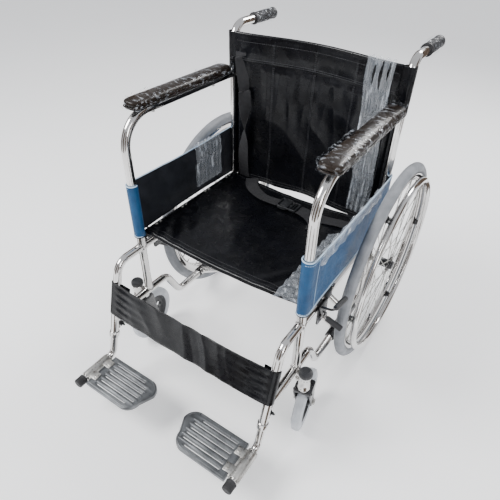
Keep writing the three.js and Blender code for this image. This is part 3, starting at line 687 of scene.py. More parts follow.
def rear_tyre():
    """Solid grey tyre: a ribbed crown, shoulders and plain sidewalls."""
    profile = [(0.2745, -0.009), (0.2790, -0.0122), (0.2795, -0.0131)]
    profile += arc(0.2870, 0, 0.014, -93, -58, 6)
    for k in range(25):
        h = -0.0072 + 0.0144 * k / 24
        groove = 0.0009 if k % 6 in (2, 3) else 0
        profile.append((WHEEL_R - 0.0004 - 38 * h * h - groove, h))
    profile += arc(0.2870, 0, 0.014, 58, 93, 6) + [(0.2795, 0.0131), (0.2790, 0.0122), (0.2745, 0.009)]
    return Piece().put(along_x(lathe(profile, 144, closed=True), wheel_centre()), GREY_TYRE)


def rear_rim():
    """A chromed box rim with rolled edges and a spoke bed, and the valve."""
    outer = 0.2739
    profile = arc(outer - 0.0017, 0.0093, 0.0017, -90, 90, 5) + [(outer - 0.005, 0.0109),
            (outer - 0.012, 0.0100)]
    profile += arc(0.2548, 0.0030, 0.0030, 60, 175, 4) + [(0.2519, 0)]
    profile = profile + [(r, -h) for r, h in reversed(profile[:-1])]
    piece = Piece().put(along_x(lathe(profile, 144, closed=True), wheel_centre()), CHROME)
    valve = bar((WHEEL_X, POST_Y + 0.008, WHEEL_R - 0.252), (WHEEL_X, POST_Y + 0.0072, WHEEL_R - 0.228),
                0.0030, 16)
    return piece.put(valve, BLACK_PLASTIC)


def hub_and_spokes():
    """The hub shell with its two flanges, and wire spokes with nipples, crossing in pairs."""
    half, flange = 0.024, 0.017
    profile = [(0.0063, -half), (0.0135, -half), (0.0150, -half + 0.0015), (0.0150, -flange - 0.003),
               (0.0235, -flange - 0.003), (0.0240, -flange - 0.0022), (0.0240, -flange),
               (0.0232, -flange + 0.001),
               (0.0145, -flange + 0.004), (0.0130, -flange + 0.007), (0.0130, flange - 0.007),
               (0.0145, flange - 0.004), (0.0232, flange - 0.001), (0.0240, flange),
               (0.0240, flange + 0.0022),
               (0.0235, flange + 0.003), (0.0150, flange + 0.003), (0.0150, half - 0.0015), (0.0135, half),
               (0.0063, half)]
    piece = Piece().put(along_x(lathe(profile, 48, closed=True), wheel_centre()), BLACK_PAINT)
    dust = lathe([(0.0065, half - 0.001), (0.0128, half - 0.001), (0.0128, half + 0.0002),
                  (0.0065, half + 0.0002)],
                 32, closed=True)
    piece.put(along_x(dust, wheel_centre()), ZINC)
    spokes, lean = 36, math.pi / 3.4
    for k in range(spokes):
        side, way = (1 if k % 2 else -1), (1 if k % 4 < 2 else -1)
        rim_angle = 2 * math.pi * (k + 0.5) / spokes
        hub_angle = rim_angle + way * lean

        def at(radius, angle, x):
            return Vector((x, POST_Y + radius * math.sin(angle), WHEEL_R + radius * math.cos(angle)))

        head_x = WHEEL_X + side * (flange + 0.0042)
        bend = at(0.0205, hub_angle, WHEEL_X + side * (flange + 0.001) + way * 0.0012)
        rim = at(0.2515, rim_angle, WHEEL_X + side * 0.0026 + way * 0.0012)
        toward = (rim - bend).normalized()
        piece.put(sweep([at(0.0200, hub_angle, head_x), bend - toward * 0.0003, bend + toward * 0.003, rim],
                        0.0011, 8), ZINC)
        piece.put(sweep([rim - toward * 0.012, rim - toward * 0.003, rim], [0.0017, 0.0019, 0.0026], 10),
                  ZINC)
    return piece


def handrim():
    """A chromed tube ring on six black tabs, each screwed to the rim."""
    ring_r, tube_r, tabs = 0.259, 0.009, 6
    ring = [(ring_r + tube_r * math.cos(t),
             tube_r * math.sin(t)) for t in (2 * math.pi * k / 20 for k in range(20))]
    piece = Piece().put(along_x(lathe(ring, 144, closed=True), (HANDRIM_X, POST_Y, WHEEL_R)), CHROME)
    for k in range(tabs):
        angle = 2 * math.pi * (k + 0.5) / tabs
        tab = Piece()
        near, far, mid = WHEEL_X + 0.0113, HANDRIM_X - 0.0035, ring_r + 0.0055
        tab.put(block((near, -0.008, mid - 0.0032), (far, 0.008, mid + 0.0032), 0.0012), BLACK_PAINT)
        tab.put(block((near, -0.0105, mid - 0.0050), (near + 0.0024, 0.0105, mid + 0.0050), 0.0008),
                BLACK_PAINT)
        tab.put(block((far - 0.0020, -0.0105, mid - 0.0045), (far + 0.0012, 0.0105, mid + 0.0045), 0.0008),
                BLACK_PAINT)
        for y in (-0.0045, 0.0045):
            head = hexagon(0.0030, 0.0026)
            tab.put(raised(head, (near + 0.008, y, mid + 0.0028)), ZINC)
        turn = Matrix.Translation((0, POST_Y, WHEEL_R)) @ Matrix.Rotation(-angle, 4, "X")
        for material_index, material in enumerate(tab.materials):
            chosen = [f for f, pick in zip(tab.faces, tab.picks) if pick == material_index]
            piece.put(moved((tab.verts, chosen), turn), material)
    return piece


# ---------------------------------------------------------------- casters, in a frame that trails along +Y


CASTER_R, CASTER_TRAIL, CASTER_HALF = 0.085, 0.038, 0.014
CROWN_Z, CROWN_THICK = 0.176, 0.009
HOUSING_TOP_Z = 0.238
STEM = (0.280, UPRIGHT_Y - 0.011)


def caster_place(side, s):
    """The caster's own frame: at its stem, turned so that its wheel is where the frame has it."""
    wheel = middle(f"{side}_caster_tyre")
    turn = math.atan2(-(wheel.x - s * STEM[0]), wheel.y - STEM[1])
    return Matrix.Translation((s * STEM[0], STEM[1], 0)) @ Matrix.Rotation(turn, 4, "Z")


def caster_housing():
    low = CROWN_Z + CROWN_THICK + 0.0015
    profile = [(0.0073, low), (0.0143, low), (0.0158, low + 0.002), (0.0158, low + 0.007),
               (0.0148, low + 0.009),
               (0.0148, HOUSING_TOP_Z - 0.008), (0.0158, HOUSING_TOP_Z - 0.006),
               (0.0158, HOUSING_TOP_Z - 0.001),
               (0.0150, HOUSING_TOP_Z), (0.0073, HOUSING_TOP_Z)]
    piece = Piece().put(raised(lathe(profile, 48, closed=True), (*STEM, 0)), CHROME)
    for z in (low + 0.010, HOUSING_TOP_Z - 0.022):
        piece.put(block((FRAME_X + 0.006, UPRIGHT_Y - 0.011, z),
                        (STEM[0] - 0.008, UPRIGHT_Y + 0.003, z + 0.012), 0.003), CHROME)
    return piece


def caster_cap():
    """A ribbed plastic cap with a shallow dome."""
    base = HOUSING_TOP_Z + 0.0003
    profile = [(0, base), (0.0150, base), (0.0172, base + 0.0012), (0.0172, base + 0.0090),
               (0.0165, base + 0.0110),
               (0.0140, base + 0.0145), (0.0090, base + 0.0158), (0.0085, base + 0.0152),
               (0, base + 0.0154)]
    verts, faces = lathe(profile, 120)
    for v in verts:
        flat = math.hypot(v.x, v.y)
        if flat > 0.0145:
            rib = 0.0005 * math.cos(30 * math.atan2(v.y, v.x))
            v.x, v.y = v.x * (1 + rib / flat), v.y * (1 + rib / flat)
    return Piece().put(raised((verts, faces), (*STEM, 0)), BLACK_PLASTIC)


def caster_fork():
    arm_x, thick = CASTER_HALF + 0.004, 0.005
    top, reach = CROWN_Z + CROWN_THICK, CASTER_HALF + 0.009
    crown = rounded_outline(-reach, -0.0145, reach, CASTER_TRAIL - 0.004, 0.008)
    piece = Piece().put(raised(plate([crown], CROWN_THICK, 0.0018), (0, 0, CROWN_Z + CROWN_THICK / 2)),
                        BLACK_PAINT)
    tip = arc(CASTER_TRAIL, CASTER_R, 0.013, 180, 350, 12)
    outline = [(-0.0145, top - 0.002), (-0.0140, top - 0.013)] + tip
    outline += [(CASTER_TRAIL + 0.002, 0.140), (CASTER_TRAIL - 0.003, top - 0.006),
                (CASTER_TRAIL - 0.006, top - 0.002)]
    hole = circle(CASTER_TRAIL, CASTER_R, 0.0044, 24)
    for side in (-1, 1):
        piece.put(stand_up(plate([outline, hole], thick, 0.0012), side * (arm_x + thick / 2)), BLACK_PAINT)
        rib = [(side * (arm_x + thick - 0.0005), y, z) for y,
               z in ((-0.006, top - 0.006), (CASTER_TRAIL - 0.001, 0.104))]
        piece.put(sweep(rib, [0.0032, 0.0018], 12), BLACK_PAINT)
    piece.put(bar((0, 0, CROWN_Z + 0.004), (0, 0, HOUSING_TOP_Z - 0.0053), 0.0069), ZINC)
    bearing = lathe([(0.0072, 0), (0.0125, 0), (0.0125, 0.0013), (0.0072, 0.0013)], 32, closed=True)
    return piece.put(raised(bearing, (0, 0, top)), ZINC)


def caster_axle():
    end = CASTER_HALF + 0.0093
    piece = Piece().put(bar((-end - 0.006, CASTER_TRAIL, CASTER_R), (end + 0.006, CASTER_TRAIL, CASTER_R),
                            0.004), ZINC)
    washer = lathe([(0.004, 0), (0.0092, 0), (0.0092, 0.001), (0.004, 0.001)], 32, closed=True)
    for side in (-1, 1):
        near = side * end if side > 0 else -end - 0.0055
        piece.put(along_x(hexagon(0.0082, 0.0050),
                          (near + (0.0010 if side > 0 else -0.0005), CASTER_TRAIL, CASTER_R)), ZINC)
        piece.put(along_x(washer, (side * end - (0 if side > 0 else 0.001), CASTER_TRAIL, CASTER_R)), ZINC)
    return piece


def caster_wheel():
    """The moulded wheel: a rim, a web with round holes and raised rings, and a long hub."""
    rim = 0.061
    centre = (0, CASTER_TRAIL, CASTER_R)
    ring = [(rim, -0.0105), (rim - 0.0008, -0.0110), (rim - 0.003, -0.0110), (rim - 0.008, -0.0046),
            (rim - 0.0095, -0.0036), (rim - 0.0095, 0.0036), (rim - 0.008, 0.0046), (rim - 0.003, 0.0110),
            (rim - 0.0008, 0.0110), (rim, 0.0105)]
    hub = [(0.0043, -0.016), (0.0130, -0.016), (0.0140, -0.0150), (0.0150, -0.0040), (0.0150, 0.0040),
           (0.0140, 0.0150), (0.0130, 0.016), (0.0043, 0.016)]
    piece = Piece().put(along_x(lathe(ring, 80, closed=True), centre), BLACK_PLASTIC)
    piece.put(along_x(lathe(hub, 40, closed=True), centre), BLACK_PLASTIC)
    places = [(0.033 * math.sin(t), 0.033 * math.cos(t)) for t in (2 * math.pi * k / 5 for k in range(5))]
    holes = [circle(y, z, 0.012, 28) for y, z in places]
    web = plate([circle(0, 0, rim - 0.0088, 72)] + holes, 0.0076, 0.0008)
    verts, faces = stand_up(web, 0)
    piece.put(([v + Vector(centre) for v in verts], faces), BLACK_PLASTIC)
    for y, z in places:
        lip = lathe([(0.0121, -0.0046), (0.0135, -0.0046), (0.0135, 0.0046), (0.0121, 0.0046)], 28,
                    closed=True)
        piece.put(along_x(lip, (0, CASTER_TRAIL + y, CASTER_R + z)), BLACK_PLASTIC)
    return piece


def caster_tyre():
    seat = 0.0613
    profile = [(seat, -0.0112), (seat + 0.003, -0.0124)] + arc(0.0700, 0, 0.0140, -100, -62, 5)
    profile += [(CASTER_R - 0.0016, -0.0090), (CASTER_R - 0.0003, -0.0045), (CASTER_R, -0.0008),
                (CASTER_R + 0.0002, 0)]
    profile = profile + [(r, -h) for r, h in reversed(profile[:-1])]
    return Piece().put(along_x(lathe(profile, 96, closed=True), (0, CASTER_TRAIL, CASTER_R)), CASTER_TYRE)


# ---------------------------------------------------------------- brakes


BRAKE_X = FRAME_X + TUBE_R + 0.0015
BRAKE_THICK = 0.004
LEVER_PIVOT = (-0.150, 0.368)
SHOE_PIVOT = (-0.128, 0.352)
SHOE_BAR = (-0.108, 0.312)
BRAKE_GRIP_X = 0.298


def brake_bracket():
    """A plate beside the rail with a clamp bolted round it."""
    outline = rounded_outline(-0.164, 0.340, -0.114, RAIL_Z + 0.010, 0.008)
    holes = [circle(*LEVER_PIVOT, 0.0034, 20), circle(*SHOE_PIVOT, 0.0034, 20)]
    piece = Piece().put(stand_up(plate([outline] + holes, BRAKE_THICK, 0.0008), BRAKE_X + BRAKE_THICK / 2),
                        BLACK_PAINT)
    band = [(FRAME_X + (TUBE_R + 0.0017) * math.cos(t), (TUBE_R + 0.0017) * math.sin(t) + RAIL_Z)
            for t in (2 * math.pi * k / 32 for k in range(32))]
    inner = [(FRAME_X + (TUBE_R + 0.0002) * math.cos(t), (TUBE_R + 0.0002) * math.sin(t) + RAIL_Z)
             for t in (2 * math.pi * k / 32 for k in range(32))]
    verts, faces = plate([band, inner], 0.024, 0.0006)
    piece.put(([Vector((v.x, v.z - 0.142, v.y)) for v in verts], faces), BLACK_PAINT)
    piece.put(block((FRAME_X - 0.0035, -0.153, RAIL_Z - 0.0200),
                    (FRAME_X + 0.0035, -0.131, RAIL_Z - 0.0105), 0.001), BLACK_PAINT)
    for y in (-0.148, -0.136):
        piece.put(along_x(hexagon(0.0042, 0.003), (FRAME_X - 0.0065, y, RAIL_Z - 0.0152)), ZINC)
    for y, z in (LEVER_PIVOT, SHOE_PIVOT):
        piece.put(along_x(hexagon(0.0050, 0.0030), (BRAKE_X - 0.0032, y, z)), ZINC)
    return piece


def brake_link(piece, y, z, boss_r):
    near = BRAKE_X + BRAKE_THICK + 0.0003
    boss = [(0, 0), (boss_r - 0.0006, 0), (boss_r, 0.0006), (boss_r, 0.0044), (boss_r - 0.0006, 0.005),
            (0, 0.005)]
    piece.put(along_x(lathe(boss, 32), (near, y, z)), BLACK_PAINT)
    piece.put(bar((BRAKE_X + 0.001, y, z), (near + 0.0062, y, z), 0.0029, 16), ZINC)
    ring = [(boss_r - 0.0035, 0.005), (boss_r - 0.0012, 0.005), (boss_r - 0.0015, 0.0060),
            (boss_r - 0.0035, 0.0060)]
    piece.put(along_x(lathe(ring, 28, closed=True), (near, y, z)), CHROME)


def brake_lever():
    piece = Piece()
    y, z = LEVER_PIVOT
    brake_link(piece, y, z, 0.009)
    arm_x = BRAKE_X + BRAKE_THICK + 0.0003 + 0.0025 + 0.0005
    run = [(arm_x, y, z, 0), (arm_x + 0.003, y - 0.022, z + 0.048, 0.009),
           (BRAKE_GRIP_X, y - 0.020, z + 0.052, 0.009), (BRAKE_GRIP_X, y + 0.048, z + 0.034, 0)]
    piece.put(sweep(route(run), 0.0030, 16), BLACK_PAINT)
    start, end = Vector((BRAKE_GRIP_X, y - 0.008, z + 0.0488)), Vector((BRAKE_GRIP_X, y + 0.052, z + 0.033))
    rings = 36
    radii = [0.0062 + 0.0009 * math.sin(math.pi * k / rings) ** 0.5
             - (0.0006 if k % 4 == 2 else 0) for k in range(rings + 1)]
    radii[0], radii[-1] = 0.0052, 0.0050
    piece.put(sweep([start.lerp(end, k / rings) for k in range(rings + 1)], radii, 24), GRIP_PLASTIC)
    return piece


def brake_shoe():
    """A link and the knurled bar that it presses on the tyre."""
    piece = Piece()
    y, z = SHOE_PIVOT
    brake_link(piece, y, z, 0.007)
    near = BRAKE_X + BRAKE_THICK + 0.0003
    piece.put(bar((near + 0.0025, y, z), (near + 0.0025, *SHOE_BAR), 0.0026, 16), BLACK_PAINT)
    start = Vector((near, SHOE_BAR[0], SHOE_BAR[1] + 0.008))
    end = Vector((WHEEL_X + 0.013, SHOE_BAR[0], SHOE_BAR[1] - 0.006))
    steps, sides = 44, 32
    points = [start.lerp(end, k / steps) for k in range(steps + 1)]
    verts, faces = sweep(points, 0.0074, sides)
    for i, v in enumerate(verts[sides:-sides]):
        ring, around = divmod(i, sides)
        centre = points[min(ring, steps)]
        if (ring + around) % 2 and 2 < ring < steps - 1:
            v += (v - centre).normalized() * 0.0006
    return piece.put((verts, faces), GRIP_PLASTIC)


# ---------------------------------------------------------------- footrests


INNER_R = 0.0095
PIVOT_FRONT_Y = -0.500
TIP_FRONT_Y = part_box("left_footrest_tip")[0].y
PLATE_INNER, PLATE_OUTER = 0.052, 0.228
PLATE_FRONT, PLATE_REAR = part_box("left_footplate")[0].y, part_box("left_footplate")[1].y
PLATE_THICK = 0.012


def footrest_tube():
    run = [(FRAME_X, hanger_y(INNER_TOP_Z), INNER_TOP_Z, 0),
           (FRAME_X, hanger_y(PLATE_PIVOT_Z), PLATE_PIVOT_Z, 0.026),
           (FRAME_X, PIVOT_FRONT_Y, PLATE_PIVOT_Z, 0)]
    piece = Piece().put(bent_tube(run, INNER_R, TUBE_SIDES), CHROME)
    stop = lathe([(0.0096, 0), (0.0122, 0), (0.0126, 0.0015), (0.0122, 0.003), (0.0096, 0.003)], 32,
                 closed=True)
    return piece.put(along_y(stop, (FRAME_X, PLATE_REAR - 0.0120, PLATE_PIVOT_Z)), ZINC)


def footrest_tip():
    """A rubber ferrule with a raised bead and shallow grooves."""
    length = 0.024
    profile = [(0, 0)] + arc(0.0095, 0.0035, 0.0035, -90, 0, 5) + [(0.0130, 0.006)]
    for k in range(13):
        profile.append((0.0129 - (0.0007 if k % 4 == 2 else 0), 0.007 + 0.010 * k / 12))
    profile += [(0.0134, 0.019), (0.0134, length - 0.001), (0.0120, length), (0.0098, length),
                (0.0098, 0.0102), (0, 0.0102)]
    return Piece().put(along_y(lathe(profile, 40), (FRAME_X, TIP_FRONT_Y, PLATE_PIVOT_Z)), RUBBER)


def wing_bolt():
    y = hanger_y(WING_BOLT_Z)
    piece = Piece().put(bar((FRAME_X, y + INNER_R + 0.0022, WING_BOLT_Z), (FRAME_X, y + 0.030, WING_BOLT_Z),
                            0.0038, 16), ZINC)
    boss = [(0, 0), (0.0068, 0), (0.0080, 0.002), (0.0072, 0.012), (0.0050, 0.013), (0, 0.013)]
    piece.put(along_y(lathe(boss, 28), (FRAME_X, y + TUBE_R + 0.0035, WING_BOLT_Z)), BLACK_PLASTIC)
    for side in (-1, 1):
        wing = [(FRAME_X + side * 0.004, y + 0.019, WING_BOLT_Z),
                (FRAME_X + side * 0.010, y + 0.022, 0.1915),
                (FRAME_X + side * 0.0145, y + 0.025, 0.1935)]
        verts, faces = sweep(wing, [0.0042, 0.0058, 0.0048], 20)
        flat = [Vector((v.x, (v.y - y - 0.0225) * 0.42 + y + 0.0225, v.z)) for v in verts]
        piece.put((flat, faces), BLACK_PLASTIC)
    return piece


def footplate():
    """A slotted cast plate with a raised rim, and ribs between its slots."""
    corner, shaded_slots, margin = 0.034, 6, 0.008
    cast = [(PLATE_OUTER, PLATE_REAR), (PLATE_INNER + corner, PLATE_REAR)]
    cast += arc(PLATE_INNER + corner, PLATE_REAR - corner, corner, 90, 180, 12)[1:]
    cast += arc(PLATE_INNER + corner + 0.016, PLATE_FRONT + corner, corner, 180, 270, 12)
    cast += [(PLATE_OUTER, PLATE_FRONT)]
    pitch = (PLATE_REAR - PLATE_FRONT - 2 * margin) / shaded_slots
    holes = []
    piece = Piece()
    top = PLATE_PIVOT_Z + PLATE_THICK / 2
    for k in range(shaded_slots):
        y = PLATE_FRONT + margin + pitch * (k + 0.5)
        start = PLATE_INNER + (corner + 0.012 if k in (0, shaded_slots - 1) else 0.030)
        holes.append(rounded_outline(start, y - 0.0024, PLATE_OUTER - 0.022, y + 0.0024, 0.0023, 5))
    for k in range(1, shaded_slots):
        y = PLATE_FRONT + margin + pitch * k
        start = PLATE_INNER + 0.024
        piece.put(block((start, y - 0.0026, top - 0.001), (PLATE_OUTER - 0.018, y + 0.0026, top + 0.0014),
                        0.0009), CAST)
    piece.put(raised(plate([cast] + holes, PLATE_THICK, 0.0016), (0, 0, PLATE_PIVOT_Z)), CAST)
    inside = [(x + (0.140 - x) * 0.045, y + (-0.443 - y) * 0.085) for x, y in cast]
    loop = [Vector((x, y, top)) for x, y in inside]
    return piece.put(sweep(loop, 0.0014, 10, closed=True), CAST)


def footplate_hinge():
    """A zinc sleeve on the pivot tube with two straps that clasp the plate's edge, bolted through."""
    low, high = PLATE_FRONT + 0.014, PLATE_REAR - 0.014
    sleeve = [(0.0103, 0), (0.0135, 0), (0.0138, 0.001), (0.0138, high - low - 0.001), (0.0135, high - low),
              (0.0103, high - low)]
    piece = Piece().put(along_y(lathe(sleeve, 36, closed=True), (FRAME_X, low, PLATE_PIVOT_Z)), ZINC)
    for y in (low + 0.004, high - 0.026):
        piece.put(block((PLATE_OUTER - 0.017, y, PLATE_PIVOT_Z + 0.0062),
                        (FRAME_X - 0.004, y + 0.022, PLATE_PIVOT_Z + 0.0092), 0.0008), ZINC)
        piece.put(block((PLATE_OUTER + 0.0004, y, PLATE_PIVOT_Z - 0.007),
                        (FRAME_X - 0.009, y + 0.022, PLATE_PIVOT_Z + 0.007), 0.0008), ZINC)
        piece.put(raised(hexagon(0.0050, 0.0034), (PLATE_OUTER - 0.010, y + 0.011, PLATE_PIVOT_Z + 0.0091)),
                  ZINC)
    return piece.put(block((PLATE_OUTER + 0.0004, low, PLATE_PIVOT_Z - 0.006),
                           (FRAME_X - 0.0100, high, PLATE_PIVOT_Z + 0.006), 0.001), ZINC)


# ---------------------------------------------------------------- scissor brace


BRACE_Y, SLEEVE_HALF = 0.075, 0.080
PIVOT_Z = middle("brace_pivot_bolt").z


def brace(s, spread):
    """One half of the scissor: a sleeve on side s's lower rail, two struts and the seat tube opposite."""
    low_x, high_x = s * FRAME_X, -s * SEAT_TUBE_X
    sleeve = [(0.0117, -SLEEVE_HALF), (0.0140, -SLEEVE_HALF), (0.0145, -SLEEVE_HALF + 0.0008),
              (0.0145, SLEEVE_HALF - 0.0008), (0.0140, SLEEVE_HALF), (0.0117, SLEEVE_HALF)]
    piece = Piece().put(along_y(lathe(sleeve, 40, closed=True), (low_x, BRACE_Y, LOWER_RAIL_Z)),
                        BLACK_PAINT)
    rise = Vector((high_x - low_x, 0, SEAT_TUBE_Z - LOWER_RAIL_Z)).normalized()
    for y in (BRACE_Y - spread, BRACE_Y + spread):
        foot = Vector((low_x, y, LOWER_RAIL_Z)) + rise * 0.0125
        head = Vector((high_x, y, SEAT_TUBE_Z)) - rise * 0.0060
        piece.put(bar(foot, head, 0.010, 28), CHROME)
        piece.put(weld(Vector((high_x, y, SEAT_TUBE_Z)) , -rise, (0, 1, 0), 0.0103), CHROME)
        piece.put(weld(Vector((low_x, y, LOWER_RAIL_Z)) + rise * 0.0035, rise, (0, 1, 0), 0.0103), CHROME)
        boss = [(0.0042, -0.0104), (0.0080, -0.0104), (0.0080, 0.0104), (0.0042, 0.0104)]
        piece.put(along_y(lathe(boss, 24, closed=True), (0, y, PIVOT_Z)), CHROME)
    front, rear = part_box("brace_a")[0].y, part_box("brace_a")[1].y
    piece.put(bar((high_x, front, SEAT_TUBE_Z), (high_x, rear, SEAT_TUBE_Z), TUBE_R, TUBE_SIDES), CHROME)
    piece.put(tube_plug((high_x, front, SEAT_TUBE_Z), (0, -1, 0)), BLACK_PLASTIC)
    return piece.put(tube_plug((high_x, rear, SEAT_TUBE_Z), (0, 1, 0)), BLACK_PLASTIC)


def brace_bolt():
    end, head = BRACE_A_SPREAD + 0.010 + 0.0003, 0.006
    piece = Piece().put(bar((0, BRACE_Y - end - head, PIVOT_Z), (0, BRACE_Y + end + head + 0.002, PIVOT_Z),
                            0.0039, 16), ZINC)
    washer = lathe([(0.004, 0), (0.0105, 0), (0.0105, 0.0012), (0.004, 0.0012)], 32, closed=True)
    piece.put(along_y(hexagon(0.009, 0.0048), (0, BRACE_Y - end - head, PIVOT_Z)), ZINC)
    piece.put(along_y(washer, (0, BRACE_Y - end - 0.0012, PIVOT_Z)), ZINC)
    piece.put(along_y(washer, (0, BRACE_Y + end, PIVOT_Z)), ZINC)
    return piece.put(along_y(hexagon(0.009, 0.0048), (0, BRACE_Y + end + 0.0012, PIVOT_Z)), ZINC)


# One side's pieces: the builder, whose name is the node's, the body and the material slot.
REAR_PIECES = (
    (rear_post, "side_frame", "chrome"),
    (arm_tube, "side_frame", "chrome"),
    (seat_rail, "side_frame", "chrome"),
    (lower_frame, "side_frame", "chrome"),
    (push_grip, "side_frame", "grip_plastic"),
    (rear_axle, "side_frame", "zinc_steel"),
    (rear_tyre, "rear_wheel", "grey_tyre"),
    (rear_rim, "rear_wheel", "chrome"),
    (hub_and_spokes, "rear_wheel", "black_plastic"),
    (handrim, "rear_wheel", "chrome"),
    (caster_housing, "side_frame", "chrome"),
    (caster_cap, "side_frame", "black_plastic"),
    (brake_bracket, "side_frame", "black_plastic"),
    (wing_bolt, "side_frame", "black_plastic"),
)
CASTER_PIECES = (
    (caster_fork, "caster_fork", "black_plastic"),
    (caster_axle, "caster_fork", "zinc_steel"),
    (caster_wheel, "caster_wheel", "black_plastic"),
    (caster_tyre, "caster_wheel", "caster_tyre"),
)
FRONT_PIECES = (
    (brake_lever, "brake_lever", "black_plastic"),
    (brake_shoe, "brake_shoe", "black_plastic"),
    (footrest_tube, "footrest", "chrome"),
    (footrest_tip, "footrest", "black_rubber"),
    (footplate, "footplate", "cast_aluminium"),
    (footplate_hinge, "footplate", "zinc_steel"),
)


def ride_all(pieces, side, s, place=None):
    for builder, body, slot in pieces:
        name = f"{side}_{builder.__name__}"
        builder().ride(f"{name}_fine", f"{side}_{body}", slot, [name], s, place)


def build_rigid():
    for side, s in SIDES:
        ride_all(REAR_PIECES, side, s)
        ride_all(CASTER_PIECES, side, 1, caster_place(side, s))
        ride_all(FRONT_PIECES, side, s)
    for name, side, spread in (("brace_a", -1, BRACE_A_SPREAD), ("brace_b", 1, BRACE_B_SPREAD)):
        brace(side, spread).ride(f"{name}_fine", name, "chrome", [name])
    brace_bolt().ride("brace_pivot_bolt_fine", "brace_a", "zinc_steel", ["brace_pivot_bolt"])


build_rigid()


# ---------------------------------------------------------------- soft goods


FILM_THICK = 0.00012
WEBBING_THICK = 0.0014


def smooth(low, high, x):
    t = min(1.0, max(0.0, (x - low) / (high - low)))
    return t * t * (3 - 2 * t)


def ripple(x, y, seed=0.0):
    """Smooth noise from about -1 to 1."""
    return noise.noise(Vector((x, y, seed)))


def crease(x, y, seed=0.0):
    """Sharp-edged folds: 0 in the hollows, 1 on the ridges."""
    return 1 - min(1.0, abs(ripple(x, y, seed)) * 2.6)


class Line:
    """A polyline that is walked by its length."""

    def __init__(self, points):
        self.points = [Vector(p) for p in points]
        self.reach = [0.0]
        for a, b in zip(self.points, self.points[1:]):
            self.reach.append(self.reach[-1] + (b - a).length)
        self.length = self.reach[-1]

    def at(self, t):
        want = min(max(t, 0.0), 1.0) * self.length
        i, last = 1, len(self.reach) - 1
        while i < last:
            half = (i + last) // 2
            if self.reach[half] < want:
                i = half + 1
            else:
                last = half
        span = self.reach[i] - self.reach[i - 1]
        return self.points[i - 1].lerp(self.points[i], (want - self.reach[i - 1]) / span if span else 0)


def curved(points, steps=12):
    """A smooth line through points."""
    points = [Vector(p) for p in points]
    ends = [2 * points[0] - points[1]] + points + [2 * points[-1] - points[-2]]
    line = []
    for a, b, c, d in zip(ends, ends[1:], ends[2:], ends[3:]):
        for k in range(steps):
            t = k / steps
            line.append(0.5 * ((2 * b) + (c - a) * t + (2 * a - 5 * b + 4 * c - d) * t ** 2
                               + (3 * b - a - 3 * c + d) * t ** 3))
    return Line(line + [points[-1]])


def both_sides(half):
    """A path from the right to the left, from its left half, which starts at the middle."""
    return Line([(-p[0], *p[1:]) for p in reversed(half[1:])] + list(half))


def cloth(place, across, along, thick):
    """A thin closed sheet round the surface place(u, v), with u and v from 0 to 1.
    Returns its points, the faces of each side, and its measured width and length."""
    grid = [[Vector(place(i / across, j / along)) for j in range(along + 1)] for i in range(across + 1)]
    rows = along + 1
    upper, lower = [], []
    for i in range(across + 1):
        for j in range(rows):
            du = grid[min(i + 1, across)][j] - grid[max(i - 1, 0)][j]
            dv = grid[i][min(j + 1, along)] - grid[i][max(j - 1, 0)]
            normal = du.cross(dv).normalized()
            upper.append(grid[i][j] + normal * (thick / 2))
            lower.append(grid[i][j] - normal * (thick / 2))
    base = len(upper)
    front, back = [], []
    for i in range(across):
        for j in range(along):
            a, b, c, d = i * rows + j, (i + 1) * rows + j, (i + 1) * rows + j + 1, i * rows + j + 1
            front.append((a, b, c, d))
            back.append((base + d, base + c, base + b, base + a))
    rim = [i * rows for i in range(across + 1)] + [across * rows + j for j in range(1, rows)]
    rim += [i * rows + along for i in range(across - 1, -1, -1)] + [j for j in range(along - 1, 0, -1)]
    for a, b in zip(rim, rim[1:] + rim[:1]):
        front.append((a, a + base, b + base, b))
    width = sum((grid[i + 1][along // 2] - grid[i][along // 2]).length for i in range(across))
    length = sum((grid[across // 2][j + 1] - grid[across // 2][j]).length for j in range(along))
    return upper + lower, front, back, (width, length)


def sheet_mesh(name, place, across, along, thick, material, sharp=60):
    """A sheet of one material round the surface place: its object, and its width and length."""
    verts, front, back, flat = cloth(place, across, along, thick)
    return Piece().put((verts, front + back), material).mesh(name, sharp=sharp), flat


def stitches(piece, place, start, end, lift, pitch=0.0050, material=None):
    """A row of short thread stitches on the surface place, from (u, v) start to end, lifted off it."""
    count = 120
    step = 1e-3
    line = []
    for k in range(count + 1):
        u = start[0] + (end[0] - start[0]) * k / count
        v = start[1] + (end[1] - start[1]) * k / count
        point = Vector(place(u, v))
        du = Vector(place(min(u + step, 1), v)) - Vector(place(max(u - step, 0), v))
        dv = Vector(place(u, min(v + step, 1))) - Vector(place(u, max(v - step, 0)))
        line.append(point + du.cross(dv).normalized() * lift)
    walk = Line(line)
    number = int(walk.length / pitch)
    for k in range(number):
        a, b = walk.at((k + 0.15) / number), walk.at((k + 0.85) / number)
        piece.put(sweep([a, b], 0.00055, 6), material or THREAD)


def share(place, low, high):
    """The part of a surface with u from low to high."""
    return lambda u, v: place(low + (high - low) * u, v)


def share_at(path, x):
    """How far along a path, from 0 to 1, it first reaches x."""
    for point, reach in zip(path.points, path.reach):
        if point.x >= x:
            return reach / path.length


WRAP_FROM = 0.240


def wrapped_ends(name, place, inner, rows, thick):
    """A sheet's two ends, each round its own side's tube and riding with that side's frame."""
    for side, s in SIDES:
        span = (inner, 1.0) if s > 0 else (0.0, 1 - inner)
        end, flat = sheet_mesh(f"{side}_{name}", share(place, *span), 70, rows, thick, BLACK_VINYL)
        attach(end, f"{side}_side_frame")


def bend_with_seat(made):
    """Bakes the piece's placement into its mesh."""
    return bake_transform(made)


# The back panel ends at the insides of the posts.
BACK_EDGE = FRAME_X - TUBE_R - 0.0011


def squash_back(made):
    """Sets a piece of the back to ride the right frame, with a mesh of its own."""
    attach(made, "right_side_frame")
    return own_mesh(made)


